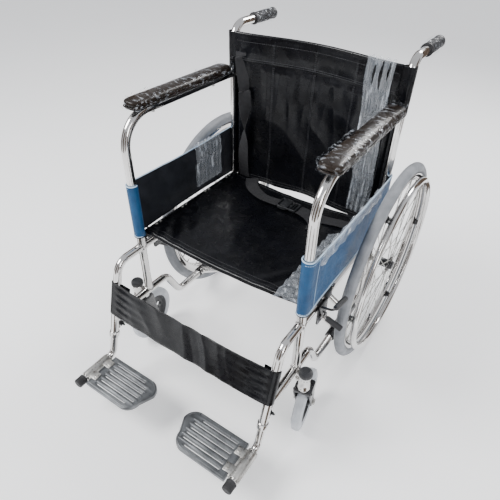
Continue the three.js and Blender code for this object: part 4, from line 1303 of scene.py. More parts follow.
def fold_with_frame(made):
    """Rides the right frame, with a mesh of its own."""
    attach(made, "right_side_frame")
    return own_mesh(made)


# Seat: over the seat tubes at both sides, screwed down, with a turned front hem.
SEAT_SAG = 0.014
SEAT_HALF = 0.226


def seat_path():
    half = [(x, 0, SEAT_TOP - 0.002
             - SEAT_SAG * (1 - (x / SEAT_HALF) ** 2)) for x in (SEAT_HALF * k / 24 for k in range(25))]
    wrap = 0.0131
    for k in range(14):
        turn = math.radians(82 - 150 * k / 13)
        half.append((SEAT_TUBE_X + wrap * math.cos(turn), 0, SEAT_TUBE_Z + wrap * math.sin(turn)))
    return both_sides(half)


SEAT_ACROSS = seat_path()
SEAT_ALONG = Line([(0, SEAT_FRONT_Y + 0.003, -0.012), (0, SEAT_FRONT_Y, -0.009),
                   (0, SEAT_FRONT_Y - 0.0004, -0.005)]
                  + [(0, SEAT_FRONT_Y + 0.004 - 0.004 * math.cos(t), -0.004 + 0.004 * math.sin(t))
                     for t in (math.pi / 2 * k / 5 for k in range(6))]
                  + [(0, SEAT_REAR_Y - 0.001, 0)])


def seat_place(u, v):
    across, along = SEAT_ACROSS.at(u), SEAT_ALONG.at(v)
    x, y = across.x, along.y
    free = 1 - smooth(0.150, 0.218, abs(x))
    lift = 0.0022 * ripple(9 * x, 5 * y, 1) * free
    lift += 0.0011 * (crease(13 * x + 4 * y, 7 * y - 5 * x, 2) - 0.5) * free
    corner = math.hypot(abs(x) - 0.205, y - SEAT_FRONT_Y - 0.012)
    pull = math.exp(-corner / 0.055) * (1 - smooth(0.205, 0.224, abs(x)))
    lift += 0.0030 * math.sin(150 * (abs(x) * 0.8 - y * 0.6)) * pull * smooth(0, 0.01, y - SEAT_FRONT_Y)
    tension = (1 - smooth(0.0, 0.05, SEAT_HALF - abs(x))) * smooth(0.0, 0.012, SEAT_HALF - abs(x))
    lift += 0.0007 * math.sin(2 * math.pi * y / 0.034) * tension
    return (x, y, across.z + along.z + min(lift, 0.0024))


SCREW_PLACES = (-0.165, -0.150, -0.060, -0.045, 0.045, 0.060, 0.150, 0.165)


def pan_screw(place, tilt):
    """A cross-slotted pan-head screw with a washer, on the seat tube. Its cross slot is two black bars on
    the head: painted shade standing in for the recess.
    """
    head = lathe([(0, -0.001), (0.0062, -0.001), (0.0062, 0.0002), (0.0042, 0.0006), (0.0040, 0.0018)]
                 + arc(0.0020, 0.0010, 0.0020, 30, 90, 4) + [(0, 0.0031)], 20)
    turn = Matrix.Translation(place) @ Matrix.Rotation(tilt, 4, "Y")
    shaded_slots = [moved(block((-a, -b, 0.0026), (a, b, 0.0033), 0.0001, 1), turn) for a,
             b in ((0.0018, 0.0004), (0.0004, 0.0018))]
    return moved(head, turn), shaded_slots


def build_seat():
    sling, flat = sheet_mesh("seat_sling_fine", seat_place, 170, 130, 0.0022, BLACK_VINYL)
    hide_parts("seat_sling")
    bend_with_seat(sling)
    trim = Piece()
    edge = [Vector(seat_place(u / 120, 0.018)) + Vector((0, -0.0012, -0.0004)) for u in range(6, 115)]
    trim.put(sweep(edge, 0.0021, 10), BLACK_VINYL)
    for v in (0.050, 0.080):
        stitches(trim, seat_place, (0.075, v), (0.925, v), 0.0013)
    stitches(trim, seat_place, (0.075, 0.975), (0.925, 0.975), 0.0013)
    for s in (-1, 1):
        u = 0.5 + s * (0.5 - 0.064)
        stitches(trim, seat_place, (u, 0.06), (u, 0.97), 0.0013)
        for y in SCREW_PLACES:
            head, shaded_slots = pan_screw((s * (SEAT_TUBE_X - 0.0005), y, SEAT_TUBE_Z + 0.0146), 0)
            trim.put(head, ZINC)
            # The black slot bars are painted shade for each screw's recessed cross slot.
            for slot in shaded_slots:
                trim.put(slot, BLACK_PLASTIC)
    trimmed = trim.mesh("seat_hem_and_screws")
    bend_with_seat(trimmed)


# Back: a panel between the rear posts, a sleeve round each post's upper part, and a folded band on top.
BACK_WRAP = 0.0127
BAND_LOW = 0.783
BACK_HEM = BACK_LOW + 0.020
SLEEVE_LOW = 0.742
BOW_HALF = 0.2256


def back_y(x):
    return POST_Y - BACK_WRAP + 0.030 * (1 - min(1.0, abs(x) / BOW_HALF) ** 2) ** 2


def back_path():
    half = [(x, back_y(x), 0) for x in (FRAME_X * k / 40 for k in range(41))]
    for k in range(1, 17):
        turn = math.radians(-90 + 220 * k / 16)
        half.append((FRAME_X + BACK_WRAP * math.cos(turn), POST_Y + BACK_WRAP * math.sin(turn), 0))
    turned = Vector(half[-1])
    seam = Vector((FRAME_X - 0.021, back_y(FRAME_X - 0.021) + 0.0030, 0))
    half += [tuple(turned.lerp(seam, k / 6)) for k in range(1, 7)]
    return both_sides(half)


BACK_ACROSS = back_path()
SLEEVE_FROM = share_at(BACK_ACROSS, BACK_EDGE)


def back_place(u, v):
    across = BACK_ACROSS.at(u)
    x, z = across.x, BACK_HEM + (BACK_TOP - BACK_HEM) * v
    inside = across.y < back_y(x) + 0.0008 and abs(x) < FRAME_X - 0.011
    free = 1 - smooth(0.120, 0.200, abs(x)) if inside else 0.0
    below = smooth(0.0, 0.02, BAND_LOW - z)
    gather = math.exp(-(BAND_LOW - z) / 0.11) * below
    push = -0.0095 * (crease(15 * x, 1.4 * z, 5) - 0.35) * gather * free
    push += -0.0065 * (crease(5.0 * x + 3.0 * z, 3.2 * z, 8) - 0.4) * smooth(0.03, 0.10,
            BAND_LOW - z) * free
    push += 0.0035 * ripple(4 * x, 4 * z, 3) * free
    low_edge = math.exp(-(z - BACK_HEM) / 0.05)
    push += 0.0030 * math.sin(2 * math.pi * x / 0.16 + 0.6) * low_edge * free
    push -= 0.010 * (1 - smooth(BACK_HEM, BACK_HEM + 0.18, z)) * (1 - (x / FRAME_X) ** 2)
    if not inside:
        push = 0.0
    elif abs(x) <= BACK_EDGE + 0.0005:
        push += 0.0105 * smooth(0.2130, BACK_EDGE, abs(x)) * (1 - smooth(SLEEVE_LOW - 0.012, SLEEVE_LOW, z))
    sleeve = 0.0004 * crease(60 * u, 22 * z, 4) if abs(x) > FRAME_X else 0.0
    outward = Vector((x - math.copysign(FRAME_X, x), across.y - POST_Y, 0))
    point = Vector((x, across.y + push, z - 0.004 * (1 - (x / FRAME_X) ** 2) * (1 - v)))
    return point + (outward.normalized() * sleeve if sleeve else Vector((0, 0, 0)))


BAND_UP = Line([(0, -0.0020, BAND_LOW), (0, -0.0020, BACK_TOP - 0.001)]
               + [(0, 0.0015 - 0.0035 * math.cos(t), BACK_TOP - 0.001 + 0.0035 * math.sin(t))
                  for t in (math.pi * k / 8 for k in range(1, 8))]
               + [(0, 0.0050, BACK_TOP - 0.001), (0, 0.0042, BACK_TOP - 0.030)])
BAND_HALF = 0.2300


def band_place(u, v):
    x = BAND_HALF * (2 * u - 1)
    up = BAND_UP.at(v)
    face = smooth(0.0, 0.05, v) * (1 - smooth(0.50, 0.62, v))
    quilt = abs(math.sin(math.pi * (x + 0.118) / 0.118)) ** 0.6
    puff = 0.0032 * math.sin(math.pi * min(1, v / 0.62)) * face * quilt
    puff += 0.0012 * ripple(11 * x, 30 * up.z, 6) * face + 0.0010 * crease(20 * x, 12 * up.z, 7) * face
    return (x, back_y(x) + up.y - puff, up.z)


def build_back():
    panel = share(back_place, 1 - SLEEVE_FROM, SLEEVE_FROM)
    sling, flat = sheet_mesh("back_sling_fine", panel, 190, 120, 0.0016, BLACK_VINYL)
    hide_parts("back_sling")
    squash_back(sling)
    band, band_flat = sheet_mesh("back_band", band_place, 170, 44, 0.0014, BLACK_VINYL)
    squash_back(band)
    trim = Piece()
    for v in (0.030, 0.075, 0.47):
        stitches(trim, band_place, (0.012, v), (0.988, v), 0.0009)
    for x in (-0.118, 0.0, 0.118):
        u = 0.5 + x / BACK_ACROSS.length
        for shift in (-0.0016, 0.0016):
            at = u + shift / BACK_ACROSS.length
            stitches(trim, back_place, (at, 0.02),
                     (at, (BAND_LOW - BACK_HEM) / (BACK_TOP - BACK_HEM) - 0.01), 0.0010)
            across = 0.5 + (x + shift) / (2 * BAND_HALF)
            stitches(trim, band_place, (across, 0.03), (across, 0.47), 0.0009)
    for v in (0.022, 0.040):
        stitches(trim, panel, (0.02, v), (0.98, v), 0.0010)
    for s in (-1, 1):
        u = 0.5 + s * 0.2205 / BACK_ACROSS.length
        stitches(trim, back_place, (u, 0.02), (u, 0.97), 0.0010)
    trimmed = trim.mesh("back_stitching")
    squash_back(trimmed)
    from_v = (SLEEVE_LOW - BACK_HEM) / (BACK_TOP - BACK_HEM)
    wrapped_ends("back_sleeve", lambda u, v: back_place(u, from_v + (1 - from_v) * v), SLEEVE_FROM, 40,
                 0.0016)


# Calf strap: in front of both hangers, round them and back behind, slanted with them.
STRAP_Z = middle("calf_strap").z
STRAP_HALF_HEIGHT = 0.0475
STRAP_FLAP = 0.034
STRAP_UP = Vector((0, HANGER_SLOPE, 1)).normalized()
STRAP_OUT = Vector((0, -1, HANGER_SLOPE)).normalized()


def strap_path():
    wrap = 0.0128
    half = [(x, wrap + 0.0006 * math.sin(20 * x), 0) for x in (FRAME_X * k / 30 for k in range(31))]
    for k in range(1, 15):
        turn = math.radians(90 - 180 * k / 14)
        half.append((FRAME_X + wrap * math.cos(turn), wrap * math.sin(turn), 0))
    half += [(FRAME_X - STRAP_FLAP * k / 8, -wrap - 0.0005 * k / 8, 0) for k in range(1, 9)]
    return both_sides(half)


STRAP_ACROSS = strap_path()
STRAP_END_FROM = share_at(STRAP_ACROSS, WRAP_FROM)


def strap_place(u, v):
    across = STRAP_ACROSS.at(u)
    behind = smooth(-0.004, -0.012, across.y) if across.y < -0.004 else 0.0
    up = (2 * v - 1) * STRAP_HALF_HEIGHT
    up = up + (0.034 * (1 - v) - 0.012 * v) * behind
    front = 1 - smooth(0.200, 0.240, abs(across.x)) if across.y > 0 else 0.0
    out = across.y
    out += front * (0.0030 * ripple(8 * across.x, 9 * up, 11)
                    + 0.0034 * (crease(15 * across.x + 5 * up, 5 * up, 12) - 0.4))
    near_post = math.exp(-abs(abs(across.x) - 0.215) / 0.035) if across.y > 0 else 0.0
    out += 0.0016 * math.sin(2 * math.pi * up / 0.021 + 9 * across.x) * near_post * (1
            - smooth(0.225, 0.2456, abs(across.x)))
    sag = -0.0045 * (1 - (across.x / FRAME_X) ** 2)
    centre = Vector((across.x, hanger_y(STRAP_Z), STRAP_Z))
    return centre + STRAP_UP * (up + sag) + STRAP_OUT * out


def build_calf_strap():
    panel = share(strap_place, 1 - STRAP_END_FROM, STRAP_END_FROM)
    strap, flat = sheet_mesh("calf_strap_fine", panel, 190, 40, 0.0020, BLACK_VINYL)
    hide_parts("calf_strap")
    fold_with_frame(strap)
    trim = Piece()
    for v in (0.045, 0.955):
        edge = [Vector(panel(u / 120, 0.006 if v < 0.5 else 0.994)) for u in range(121)]
        trim.put(sweep(edge, 0.0019, 8), BLACK_VINYL)
        stitches(trim, panel, (0.01, v), (0.99, v), -0.0013)
    trimmed = trim.mesh("calf_strap_edging")
    fold_with_frame(trimmed)
    wrapped_ends("calf_strap_end", strap_place, STRAP_END_FROM, 40, 0.0020)


# Side panels: blue outside, dark inside, folded round the front upright and the rear post.
PANEL_WRAP = 0.0140
PANEL_LOW, PANEL_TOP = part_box("left_side_panel")[0].z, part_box("left_side_panel")[1].z


def panel_path():
    points = []
    for k in range(17):
        turn = math.radians(140 + 220 * k / 16)
        points.append((FRAME_X + PANEL_WRAP * math.cos(turn), UPRIGHT_Y + PANEL_WRAP * math.sin(turn), 0))
    points += [(FRAME_X + PANEL_WRAP, UPRIGHT_Y + (POST_Y - UPRIGHT_Y) * k / 60, 0) for k in range(1, 60)]
    for k in range(13):
        turn = math.radians(120 * k / 12)
        points.append((FRAME_X + PANEL_WRAP * math.cos(turn), POST_Y + PANEL_WRAP * math.sin(turn), 0))
    return Line(points)


PANEL_ALONG = panel_path()


def panel_place(u, v):
    along = PANEL_ALONG.at(u)
    z = PANEL_LOW + (PANEL_TOP - PANEL_LOW) * v
    free = smooth(UPRIGHT_Y + 0.004, UPRIGHT_Y + 0.05,
                  along.y) * (1 - smooth(POST_Y - 0.05, POST_Y - 0.01, along.y))
    bulge = free * (-0.0030 * math.sin(math.pi * v) + 0.0016 * ripple(8 * along.y, 8 * z, 21))
    bulge += free * 0.0012 * (crease(9 * along.y + 12 * z, 9 * z, 22) - 0.5)
    dip = -0.004 * math.sin(math.pi * min(1.0,
                                          max(0.0, (along.y - UPRIGHT_Y) / (POST_Y - UPRIGHT_Y)))) * (v
                                          - 0.5) * 2
    return (along.x + bulge, along.y, z + dip)


def build_side_panels():
    for side, s in SIDES:
        verts, outer, inner, flat = cloth(panel_place, 150, 60, 0.0011)
        piece = Piece().put((verts, outer), BLUE_CLOTH)
        start = len(piece.verts) - len(verts)
        piece.materials.append(LINING)
        piece.faces += [tuple(start + i for i in face) for face in inner]
        piece.picks += [1] * len(inner)
        panel = piece.ride(f"{side}_side_panel_fine", f"{side}_side_frame", "blue_panel",
                           [f"{side}_side_panel"], s, sharp=60)
        trim = Piece()
        for v, material in ((0.0, BLACK_VINYL), (0.022, PALE_EDGE), (1.0, PALE_EDGE)):
            edge = [Vector(panel_place(k / 120, v)) for k in range(1, 120)]
            if 0 < v < 1:
                edge = [p + Vector((0.0011, 0, 0)) if p.y > UPRIGHT_Y else p
                        + Vector((0, -0.0011, 0)) for p in edge]
            trim.put(sweep(edge, 0.0017 if v in (0.0, 1.0) else 0.0010, 8), material)
        for v in (0.045, 0.955):
            stitches(trim, panel_place, (0.06, v), (0.97, v), 0.0008, material=PALE_EDGE)
        stitches(trim, panel_place, (0.150, 0.04), (0.150, 0.96), 0.0008, material=PALE_EDGE)
        binding = trim.ride(f"{side}_panel_binding", f"{side}_side_frame", "blue_panel", (), s)


# Armrest pads: foam under vinyl on a board, blown up a little by the cloth simulation.
PAD_LOW, PAD_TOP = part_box("left_armrest_pad")[0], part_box("left_armrest_pad")[1]
PAD_CAP = 0.0048
PAD_VOXEL = 0.0050
PAD_SHRINK = 0.0022


def inflate(made, pinned_below):
    """Remeshes a closed shape, blows it up as cloth with its underside held, and smooths it."""
    bpy.context.view_layer.objects.active = made
    remesh = made.modifiers.new("remesh", "REMESH")
    remesh.mode = "VOXEL"
    remesh.voxel_size = PAD_VOXEL
    bpy.ops.object.modifier_apply(modifier=remesh.name)
    start = [v.co.copy() for v in made.data.vertices]
    held = made.vertex_groups.new(name="held")
    held.add([v.index for v in made.data.vertices if v.co.z < pinned_below], 1.0, "REPLACE")
    cloth_modifier = made.modifiers.new("cloth", "CLOTH")
    settings = cloth_modifier.settings
    settings.use_pressure = True
    settings.uniform_pressure_force = 4
    settings.effector_weights.gravity = 0
    settings.vertex_group_mass = "held"
    for number in range(1, 21):
        bpy.context.scene.frame_set(number)
    blown = made.evaluated_get(bpy.context.evaluated_depsgraph_get())
    reached = [v.co.copy() for v in blown.data.vertices]
    made.modifiers.remove(cloth_modifier)
    bpy.context.scene.frame_set(1)
    for v, before, after in zip(made.data.vertices, start, reached):
        step = after - before
        v.co = before + step * min(1.0, PAD_CAP / max(step.length, 1e-9))
    subdivide = made.modifiers.new("subdivide", "SUBSURF")
    subdivide.levels = subdivide.render_levels = 1
    bpy.ops.object.modifier_apply(modifier=subdivide.name)
    made.data.shade_smooth()


def pad_shape():
    low_z = PAD_LOW.z + 0.0035
    outline = rounded_outline(PAD_LOW.x + PAD_SHRINK, PAD_LOW.y + PAD_SHRINK, PAD_TOP.x - PAD_SHRINK,
                              PAD_TOP.y - PAD_SHRINK, 0.019, 8)
    height = PAD_TOP.z - 0.0035 - low_z
    return raised(plate([outline], height, 0.0062), (0, 0, low_z + height / 2))


def pad_fittings():
    """The board under a pad, the seam round it and the two saddles that hold it on the tube."""
    piece = Piece()
    outline = rounded_outline(PAD_LOW.x + 0.004, PAD_LOW.y + 0.004, PAD_TOP.x - 0.004, PAD_TOP.y - 0.004,
                              0.016, 8)
    piece.put(raised(plate([outline], 0.0042, 0.0008), (0, 0, PAD_LOW.z + 0.0023)), BLACK_PLASTIC)
    for y in (-0.120, 0.110):
        piece.put(block((FRAME_X - 0.013, y - 0.012, ARM_Z - 0.001),
                        (FRAME_X + 0.013, y + 0.012, PAD_LOW.z + 0.001), 0.002), BLACK_PLASTIC)
        piece.put(moved(hexagon(0.0052, 0.0032), Matrix.Translation((FRAME_X, y, ARM_Z - TUBE_R - 0.0025))),
                  ZINC)
    seam = [Vector((x, y, PAD_LOW.z + 0.0052)) for x, y in
            rounded_outline(PAD_LOW.x + 0.0022, PAD_LOW.y + 0.0022, PAD_TOP.x - 0.0022, PAD_TOP.y - 0.0022,
                            0.0178, 8)]
    return piece.put(sweep(seam, 0.0015, 8, closed=True), PAD_VINYL)


def wrap_place(u, v):
    """Film pulled round a pad: tight over its faces, crinkled, gathered at both ends."""
    y = PAD_LOW.y - 0.010 + (PAD_TOP.y - PAD_LOW.y + 0.024) * v
    turn = 2 * math.pi * u - math.pi / 2
    end = min(v, 1 - v)
    open_share = 0.42 + 0.58 * smooth(0.0, 0.055, end)
    half_wide = (PAD_TOP.x - PAD_LOW.x) / 2 + 0.0004
    half_high = (PAD_TOP.z - PAD_LOW.z) / 2 + 0.0016
    c, s = math.cos(turn), math.sin(turn)
    x = math.copysign(abs(c) ** 0.42, c) * half_wide * open_share
    z = math.copysign(abs(s) ** 0.5, s) * half_high * (0.30 + 0.70 * smooth(0.0, 0.05, end))
    wrinkle = 0.0013 * ripple(26 * y, 5 * u, 31) + 0.0016 * crease(16 * y + 6 * u, 9 * u - 8 * y, 32)
    wrinkle += 0.0025 * math.sin(40 * u + 30 * y) * (1 - smooth(0.02, 0.08, end))
    push = Vector((c, 0, s)) * wrinkle
    middle_x = (PAD_LOW.x + PAD_TOP.x) / 2
    middle_z = (PAD_LOW.z + PAD_TOP.z) / 2 + 0.0006
    return Vector((middle_x + x, y, middle_z + z)) + push


def build_pads():
    source = Piece().put(pad_shape(), PAD_VINYL).mesh("pad_source")
    inflate(source, PAD_LOW.z + 0.0055)
    points = [v.co.copy() for v in source.data.vertices]
    faces = [tuple(p.vertices) for p in source.data.polygons]
    bpy.data.objects.remove(source)
    for v in points:
        v.z = min(v.z, PAD_TOP.z + 0.0045)
        v.z += 0.0005 * ripple(60 * v.x, 22 * v.y, 41) * smooth(PAD_LOW.z + 0.008, PAD_TOP.z - 0.004, v.z)
    for side, s in SIDES:
        body = f"{side}_side_frame"
        pad = Piece().put((points, faces), PAD_VINYL).ride(f"{side}_armrest_pad_fine", body, "pad_vinyl",
                                                          [f"{side}_armrest_pad"], s, sharp=80)
        pad_fittings().ride(f"{side}_pad_board", body, "black_plastic", (), s)
        verts, outer, inner, flat = cloth(wrap_place, 72, 130, FILM_THICK)
        film = Piece().put((verts, outer + inner), TIGHT_FILM).ride(f"{side}_pad_film", body, "clear_film",
                (), s, sharp=80)


def ribbon(centre, width, aim, folds, depth, seed):
    """A film strip down a centre line: aim(t) is its width direction, folds its pleats."""

    def place(u, v):
        point = centre.at(v)
        ahead = centre.at(min(1, v + 0.01)) - centre.at(max(0, v - 0.01))
        across = Vector(aim(v)).normalized()
        out = across.cross(ahead.normalized()).normalized()
        wide = width(v) * (u - 0.5)
        pleat = depth * math.sin(2 * math.pi * folds * u + 2.0 * v + 1.3 * ripple(3 * v, 2 * u, seed))
        pleat += 0.4 * depth * crease(7 * u, 9 * v, seed + 1) + 0.4 * depth * ripple(5 * u, 6 * v, seed + 2)
        waver = 0.06 * width(v) * ripple(2.0, 7 * v, seed + 3)
        return point + across * (wide + waver) + out * pleat

    return place


def grip_film(side, s):
    """A crinkled sleeve of film round a push grip, pinched behind its end."""
    low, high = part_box("left_push_grip")
    centre = (low + high) / 2

    def place(u, v):
        turn = 2 * math.pi * u
        radius = GRIP_R + 0.0028 - 0.0016 * smooth(0.85, 1.0, v) + 0.0012 * ripple(5 * math.cos(turn),
                9 * v, 71)
        radius += 0.0016 * crease(2.5 * math.cos(turn), 6 * v + 2 * math.sin(turn), 72)
        y = low.y - 0.004 + (high.y - low.y + 0.001) * v
        return (centre.x + radius * math.cos(turn), y, centre.z + radius * math.sin(turn))

    verts, outer, inner, flat = cloth(place, 48, 60, FILM_THICK)
    film = Piece().put((verts, outer + inner), TIGHT_FILM).ride(f"{side}_grip_film", f"{side}_side_frame",
            "clear_film",
                                                          (), s, sharp=80)


def build_films():
    """Packing film: down the left of the back, round both grips, and over each side panel's top."""
    hang = curved([(0.176, 0.2130, 0.838), (0.177, 0.2020, 0.8590), (0.178, 0.1920, 0.838),
                   (0.180, 0.1910, 0.74),
                   (0.184, 0.1900, 0.62), (0.187, 0.1870, 0.52), (0.186, 0.1830, 0.452)])
    place = ribbon(hang, lambda v: 0.072 - 0.012 * v, lambda v: (1, -0.12, 0), 4, 0.0030, 51)
    film, flat = sheet_mesh("back_film", place, 80, 110, FILM_THICK, FILM, sharp=80)
    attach(film, "left_side_frame")
    for side, s in SIDES:
        grip_film(side, s)
    for side, s, rear, front in (("left", 1, 0.150, -0.195), ("right", -1, 0.150, 0.030)):
        middle_y = (rear + front) / 2
        drop = curved([(0.2630, middle_y, PANEL_TOP - 0.030), (0.2600, middle_y, PANEL_TOP + 0.005),
                       (0.2545, middle_y, PANEL_TOP - 0.020), (0.2535, middle_y - 0.004, 0.500),
                       (0.2530, middle_y - 0.006, 0.448)])
        place = ribbon(drop, lambda v: (rear - front) * (0.96 + 0.06 * v), lambda v: (0, 1, 0), 7, 0.0018,
                       61)
        verts, outer, inner, flat = cloth(place, 90, 70, FILM_THICK)
        film = Piece().put((verts, outer + inner), FILM).ride(f"{side}_panel_film", f"{side}_side_frame",
                "clear_film", (), s, sharp=80)


def seat_film():
    """The film's lower part, lying over the left edge of the seat and past its front."""
    middle_y = -0.062
    lie = curved([(0.2490, middle_y, 0.462), (0.2440, middle_y, 0.446), (0.2330, middle_y, 0.4385),
                  (0.2150, middle_y - 0.004, seat_z(0.215) + 0.0040),
                  (0.1900, middle_y - 0.010, seat_z(0.19) + 0.0050),
                  (0.1680, middle_y - 0.018, seat_z(0.168) + 0.0035)])
    place = ribbon(lie, lambda v: 0.318 - 0.030 * v, lambda v: (0, 1, 0), 9, 0.0024, 81)
    film, flat = sheet_mesh("seat_film", place, 110, 50, FILM_THICK, FILM, sharp=80)
    bend_with_seat(film)


# Lap belt: both halves lie on the seat; the right one comes up behind it. A loose strap hangs at the back.
BELT_WIDTH = 0.038
BELT_Y = 0.128


def strip_place(centre, width, tilt):
    """A strap along a line; tilt(v) turns its width from lying along Y towards standing up."""

    def place(u, v):
        point = centre.at(v)
        ahead = (centre.at(min(1, v + 0.01)) - centre.at(max(0, v - 0.01))).normalized()
        flat = Vector((0, 0, 1)).cross(ahead)
        flat = (flat if flat.length > 0.2 else Vector((1, 0, 0))).normalized()
        across = Matrix.Rotation(tilt(v), 3, ahead) @ flat
        return point + across * (width * (u - 0.5))

    return place


def seat_z(x):
    return SEAT_TOP - 0.0005 - SEAT_SAG * (1 - min(1.0, (x / SEAT_HALF)) ** 2)


def build_belt():
    left = curved([(0.222, BELT_Y + 0.010, seat_z(0.222) + 0.002),
                   (0.200, BELT_Y + 0.004, seat_z(0.2) + 0.0015),
                   (0.165, BELT_Y, seat_z(0.165) + 0.0045), (0.120, BELT_Y - 0.002, seat_z(0.12) + 0.0020),
                   (0.080, BELT_Y, seat_z(0.08) + 0.0035), (0.040, BELT_Y, seat_z(0.04) + 0.0060)])
    belt, flat = sheet_mesh("lap_belt_left",
                            strip_place(left, BELT_WIDTH, lambda v: 0.05 * math.sin(5 * v)), 14, 90,
                            WEBBING_THICK, WEBBING)
    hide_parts("lap_belt")
    bend_with_seat(belt)
    free_end = curved([(0.046, BELT_Y - 0.002, seat_z(0.046) + 0.0078),
                       (0.085, BELT_Y - 0.016, seat_z(0.085) + 0.0066),
                       (0.110, BELT_Y - 0.036, seat_z(0.110) + 0.0030),
                       (0.118, BELT_Y - 0.066, seat_z(0.118) + 0.0022)])
    tail, flat = sheet_mesh("lap_belt_tail", strip_place(free_end, BELT_WIDTH * 0.98, lambda v: 0.06 * v),
                            12, 50, WEBBING_THICK, WEBBING)
    bend_with_seat(tail)
    hanging = curved([(-0.2120, 0.1922, 0.806), (-0.2100, 0.1905, 0.790), (-0.2040, 0.1870, 0.765),
                      (-0.1880, 0.1770, 0.700), (-0.1830, 0.1740, 0.600), (-0.1920, 0.1790, 0.520),
                      (-0.1950, 0.1870, 0.462), (-0.1940, 0.1910, 0.436)])
    twist = strip_place(hanging, BELT_WIDTH * 0.9,
                        lambda v: math.radians(180) * (1 - smooth(0.15, 0.80, v)))
    strap, flat = sheet_mesh("back_strap", twist, 14, 150, WEBBING_THICK, WEBBING)
    fold_with_frame(strap)
    right = curved([(-0.1700, 0.2030, 0.3960), (-0.1680, 0.2010, 0.4200),
                    (-0.1640, 0.1900, seat_z(0.165) + 0.0050),
                    (-0.1500, 0.1660, seat_z(0.150) + 0.0030), (-0.1220, 0.1420, seat_z(0.122) + 0.0050),
                    (-0.0800, 0.1290, seat_z(0.080) + 0.0030), (-0.0260, BELT_Y, seat_z(0.026) + 0.0060)])
    belt, flat = sheet_mesh("lap_belt_right",
                            strip_place(right, BELT_WIDTH, lambda v: 0.10 * math.sin(6 * v)), 14, 90,
                            WEBBING_THICK, WEBBING)
    bend_with_seat(belt)


def buckle():
    """A side-release buckle: the socket with its side windows, and the two sprung prongs."""
    low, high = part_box("belt_buckle")
    mid_y, mid_z = (low.y + high.y) / 2, (low.z + high.z) / 2 + 0.0010
    split = low.x + (high.x - low.x) * 0.56
    piece = Piece()
    half = (high.y - low.y) / 2
    socket = rounded_outline(low.x, mid_y - half, split, mid_y + half, 0.007, 5)
    windows = [rounded_outline(low.x + 0.012, mid_y + s * (half - 0.0045) - 0.0022, split - 0.008,
                               mid_y + s * (half - 0.0045) + 0.0022, 0.002, 3) for s in (-1, 1)]
    slot = rounded_outline(low.x + 0.0035, mid_y - half + 0.007, low.x + 0.0075, mid_y + half - 0.007,
                           0.0018, 3)
    piece.put(raised(plate([socket, slot] + windows, 0.0100, 0.0020), (0, 0, mid_z)), BLACK_PLASTIC)
    piece.put(block((low.x + 0.013, mid_y - 0.010, mid_z + 0.004),
                    (split - 0.004, mid_y + 0.010, mid_z + 0.0062), 0.0012), BLACK_PLASTIC)
    bar_outline = rounded_outline(split + 0.004, mid_y - half + 0.002, high.x, mid_y + half - 0.002, 0.005,
                                  5)
    gap = [rounded_outline(x, mid_y - half + 0.007, x + 0.0042, mid_y + half - 0.007, 0.0018,
                           3) for x in (split + 0.009, split + 0.0170)]
    piece.put(raised(plate([bar_outline] + gap, 0.0070, 0.0016), (0, 0, mid_z)), BLACK_PLASTIC)
    for s in (-1, 1):
        prong = [(split + 0.006, mid_y + s * (half - 0.006), mid_z),
                 (split - 0.006, mid_y + s * (half - 0.0035), mid_z),
                 (split - 0.012, mid_y + s * (half - 0.0045), mid_z)]
        piece.put(sweep(prong, [0.0026, 0.0030, 0.0018], 12), BLACK_PLASTIC)
    piece.put(bar((split + 0.004, mid_y, mid_z), (split - 0.008, mid_y, mid_z), 0.0026, 12), BLACK_PLASTIC)
    made = piece.mesh("belt_buckle_fine")
    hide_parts("belt_buckle")
    return bend_with_seat(made)


build_seat()
build_back()
build_calf_strap()
build_side_panels()
build_pads()
build_films()
seat_film()
build_belt()
buckle()


# ---------------------------------------------------------------- studio


def plain(name, colour, rough):
    s = Surface(name)
    s.colours(s.noise(3), (0.3, colour), (0.7, tuple(c * 0.985 for c in colour)))
    return s.ranged(s.noise(8), rough, rough + 0.05).made


def stage_plane(name, size, place, toward, material):
    bpy.ops.mesh.primitive_plane_add(size=size, location=place)
    made = bpy.context.object
    made.name = name
    if toward is not None:
        made.rotation_euler = (Vector(toward) - Vector(place)).to_track_quat("Z", "Y").to_euler()
    made.data.materials.append(material)
    return made


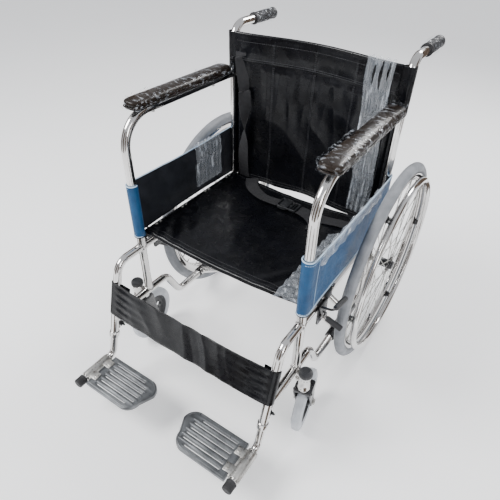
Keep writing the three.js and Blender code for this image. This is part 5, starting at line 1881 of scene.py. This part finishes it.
def soft_light(name, place, size, power, toward=(0, 0, 0.4)):
    data = bpy.data.lights.new(name, "AREA")
    data.shape = "DISK"
    data.size = size
    data.energy = power
    light = bpy.data.objects.new(name, data)
    bpy.context.scene.collection.objects.link(light)
    light.location = place
    light.rotation_euler = (Vector(place) - Vector(toward)).to_track_quat("Z", "Y").to_euler()


def reflection_card(name, place, toward, material, scale):
    """A card that is seen only in reflections, for the dark streaks in the chrome."""
    card = stage_plane(name, 1, place, toward, material)
    card.scale = scale
    card.visible_camera = False
    card.visible_diffuse = False
    card.visible_shadow = False
    return card


FLOOR_GLOW = 0.34
CARD_RADIUS = 1.7
CARD_TURNS = (-150, -105, -62, -18, 25, 70, 115, 160)
LOW_CARDS = 7
LOW_CARD_RADIUS = 0.95


def build_studio():
    paper = plain("floor", (0.93, 0.93, 0.93), 0.7)
    paper.node_tree.nodes["Principled BSDF"].inputs["Emission Strength"].default_value = FLOOR_GLOW
    stage_plane("floor", 30, (0, 0, -0.0005), None, paper)
    dark = plain("dark_card", (0.075, 0.052, 0.036), 0.9)
    for k, turn in enumerate(CARD_TURNS):
        place = (CARD_RADIUS * math.cos(math.radians(turn)), CARD_RADIUS * math.sin(math.radians(turn)),
                 0.85)
        reflection_card(f"dark_card_{k}", place, (0, 0, 0.7), dark, (0.78, 1.5, 1))
    for k in range(LOW_CARDS):
        turn = math.radians(51 * k + 12)
        place = (LOW_CARD_RADIUS * math.cos(turn), LOW_CARD_RADIUS * math.sin(turn), 0.004)
        card = reflection_card(f"low_card_{k}", place, None, dark, (0.75, 0.26, 1))
        card.rotation_euler = (0, 0, turn)
    soft_light("key", (-1.6, -1.5, 2.6), 1.3, 105)
    soft_light("fill", (2.2, -1.2, 1.7), 1.4, 34)
    soft_light("back", (0.4, 2.2, 2.3), 1.1, 60)
    world = bpy.data.worlds.new("studio")
    bpy.context.scene.world = world
    world.use_nodes = True
    world.node_tree.nodes["Background"].inputs["Color"].default_value = (0.93, 0.95, 1, 1)
    world.node_tree.nodes["Background"].inputs["Strength"].default_value = 0.80


build_studio()
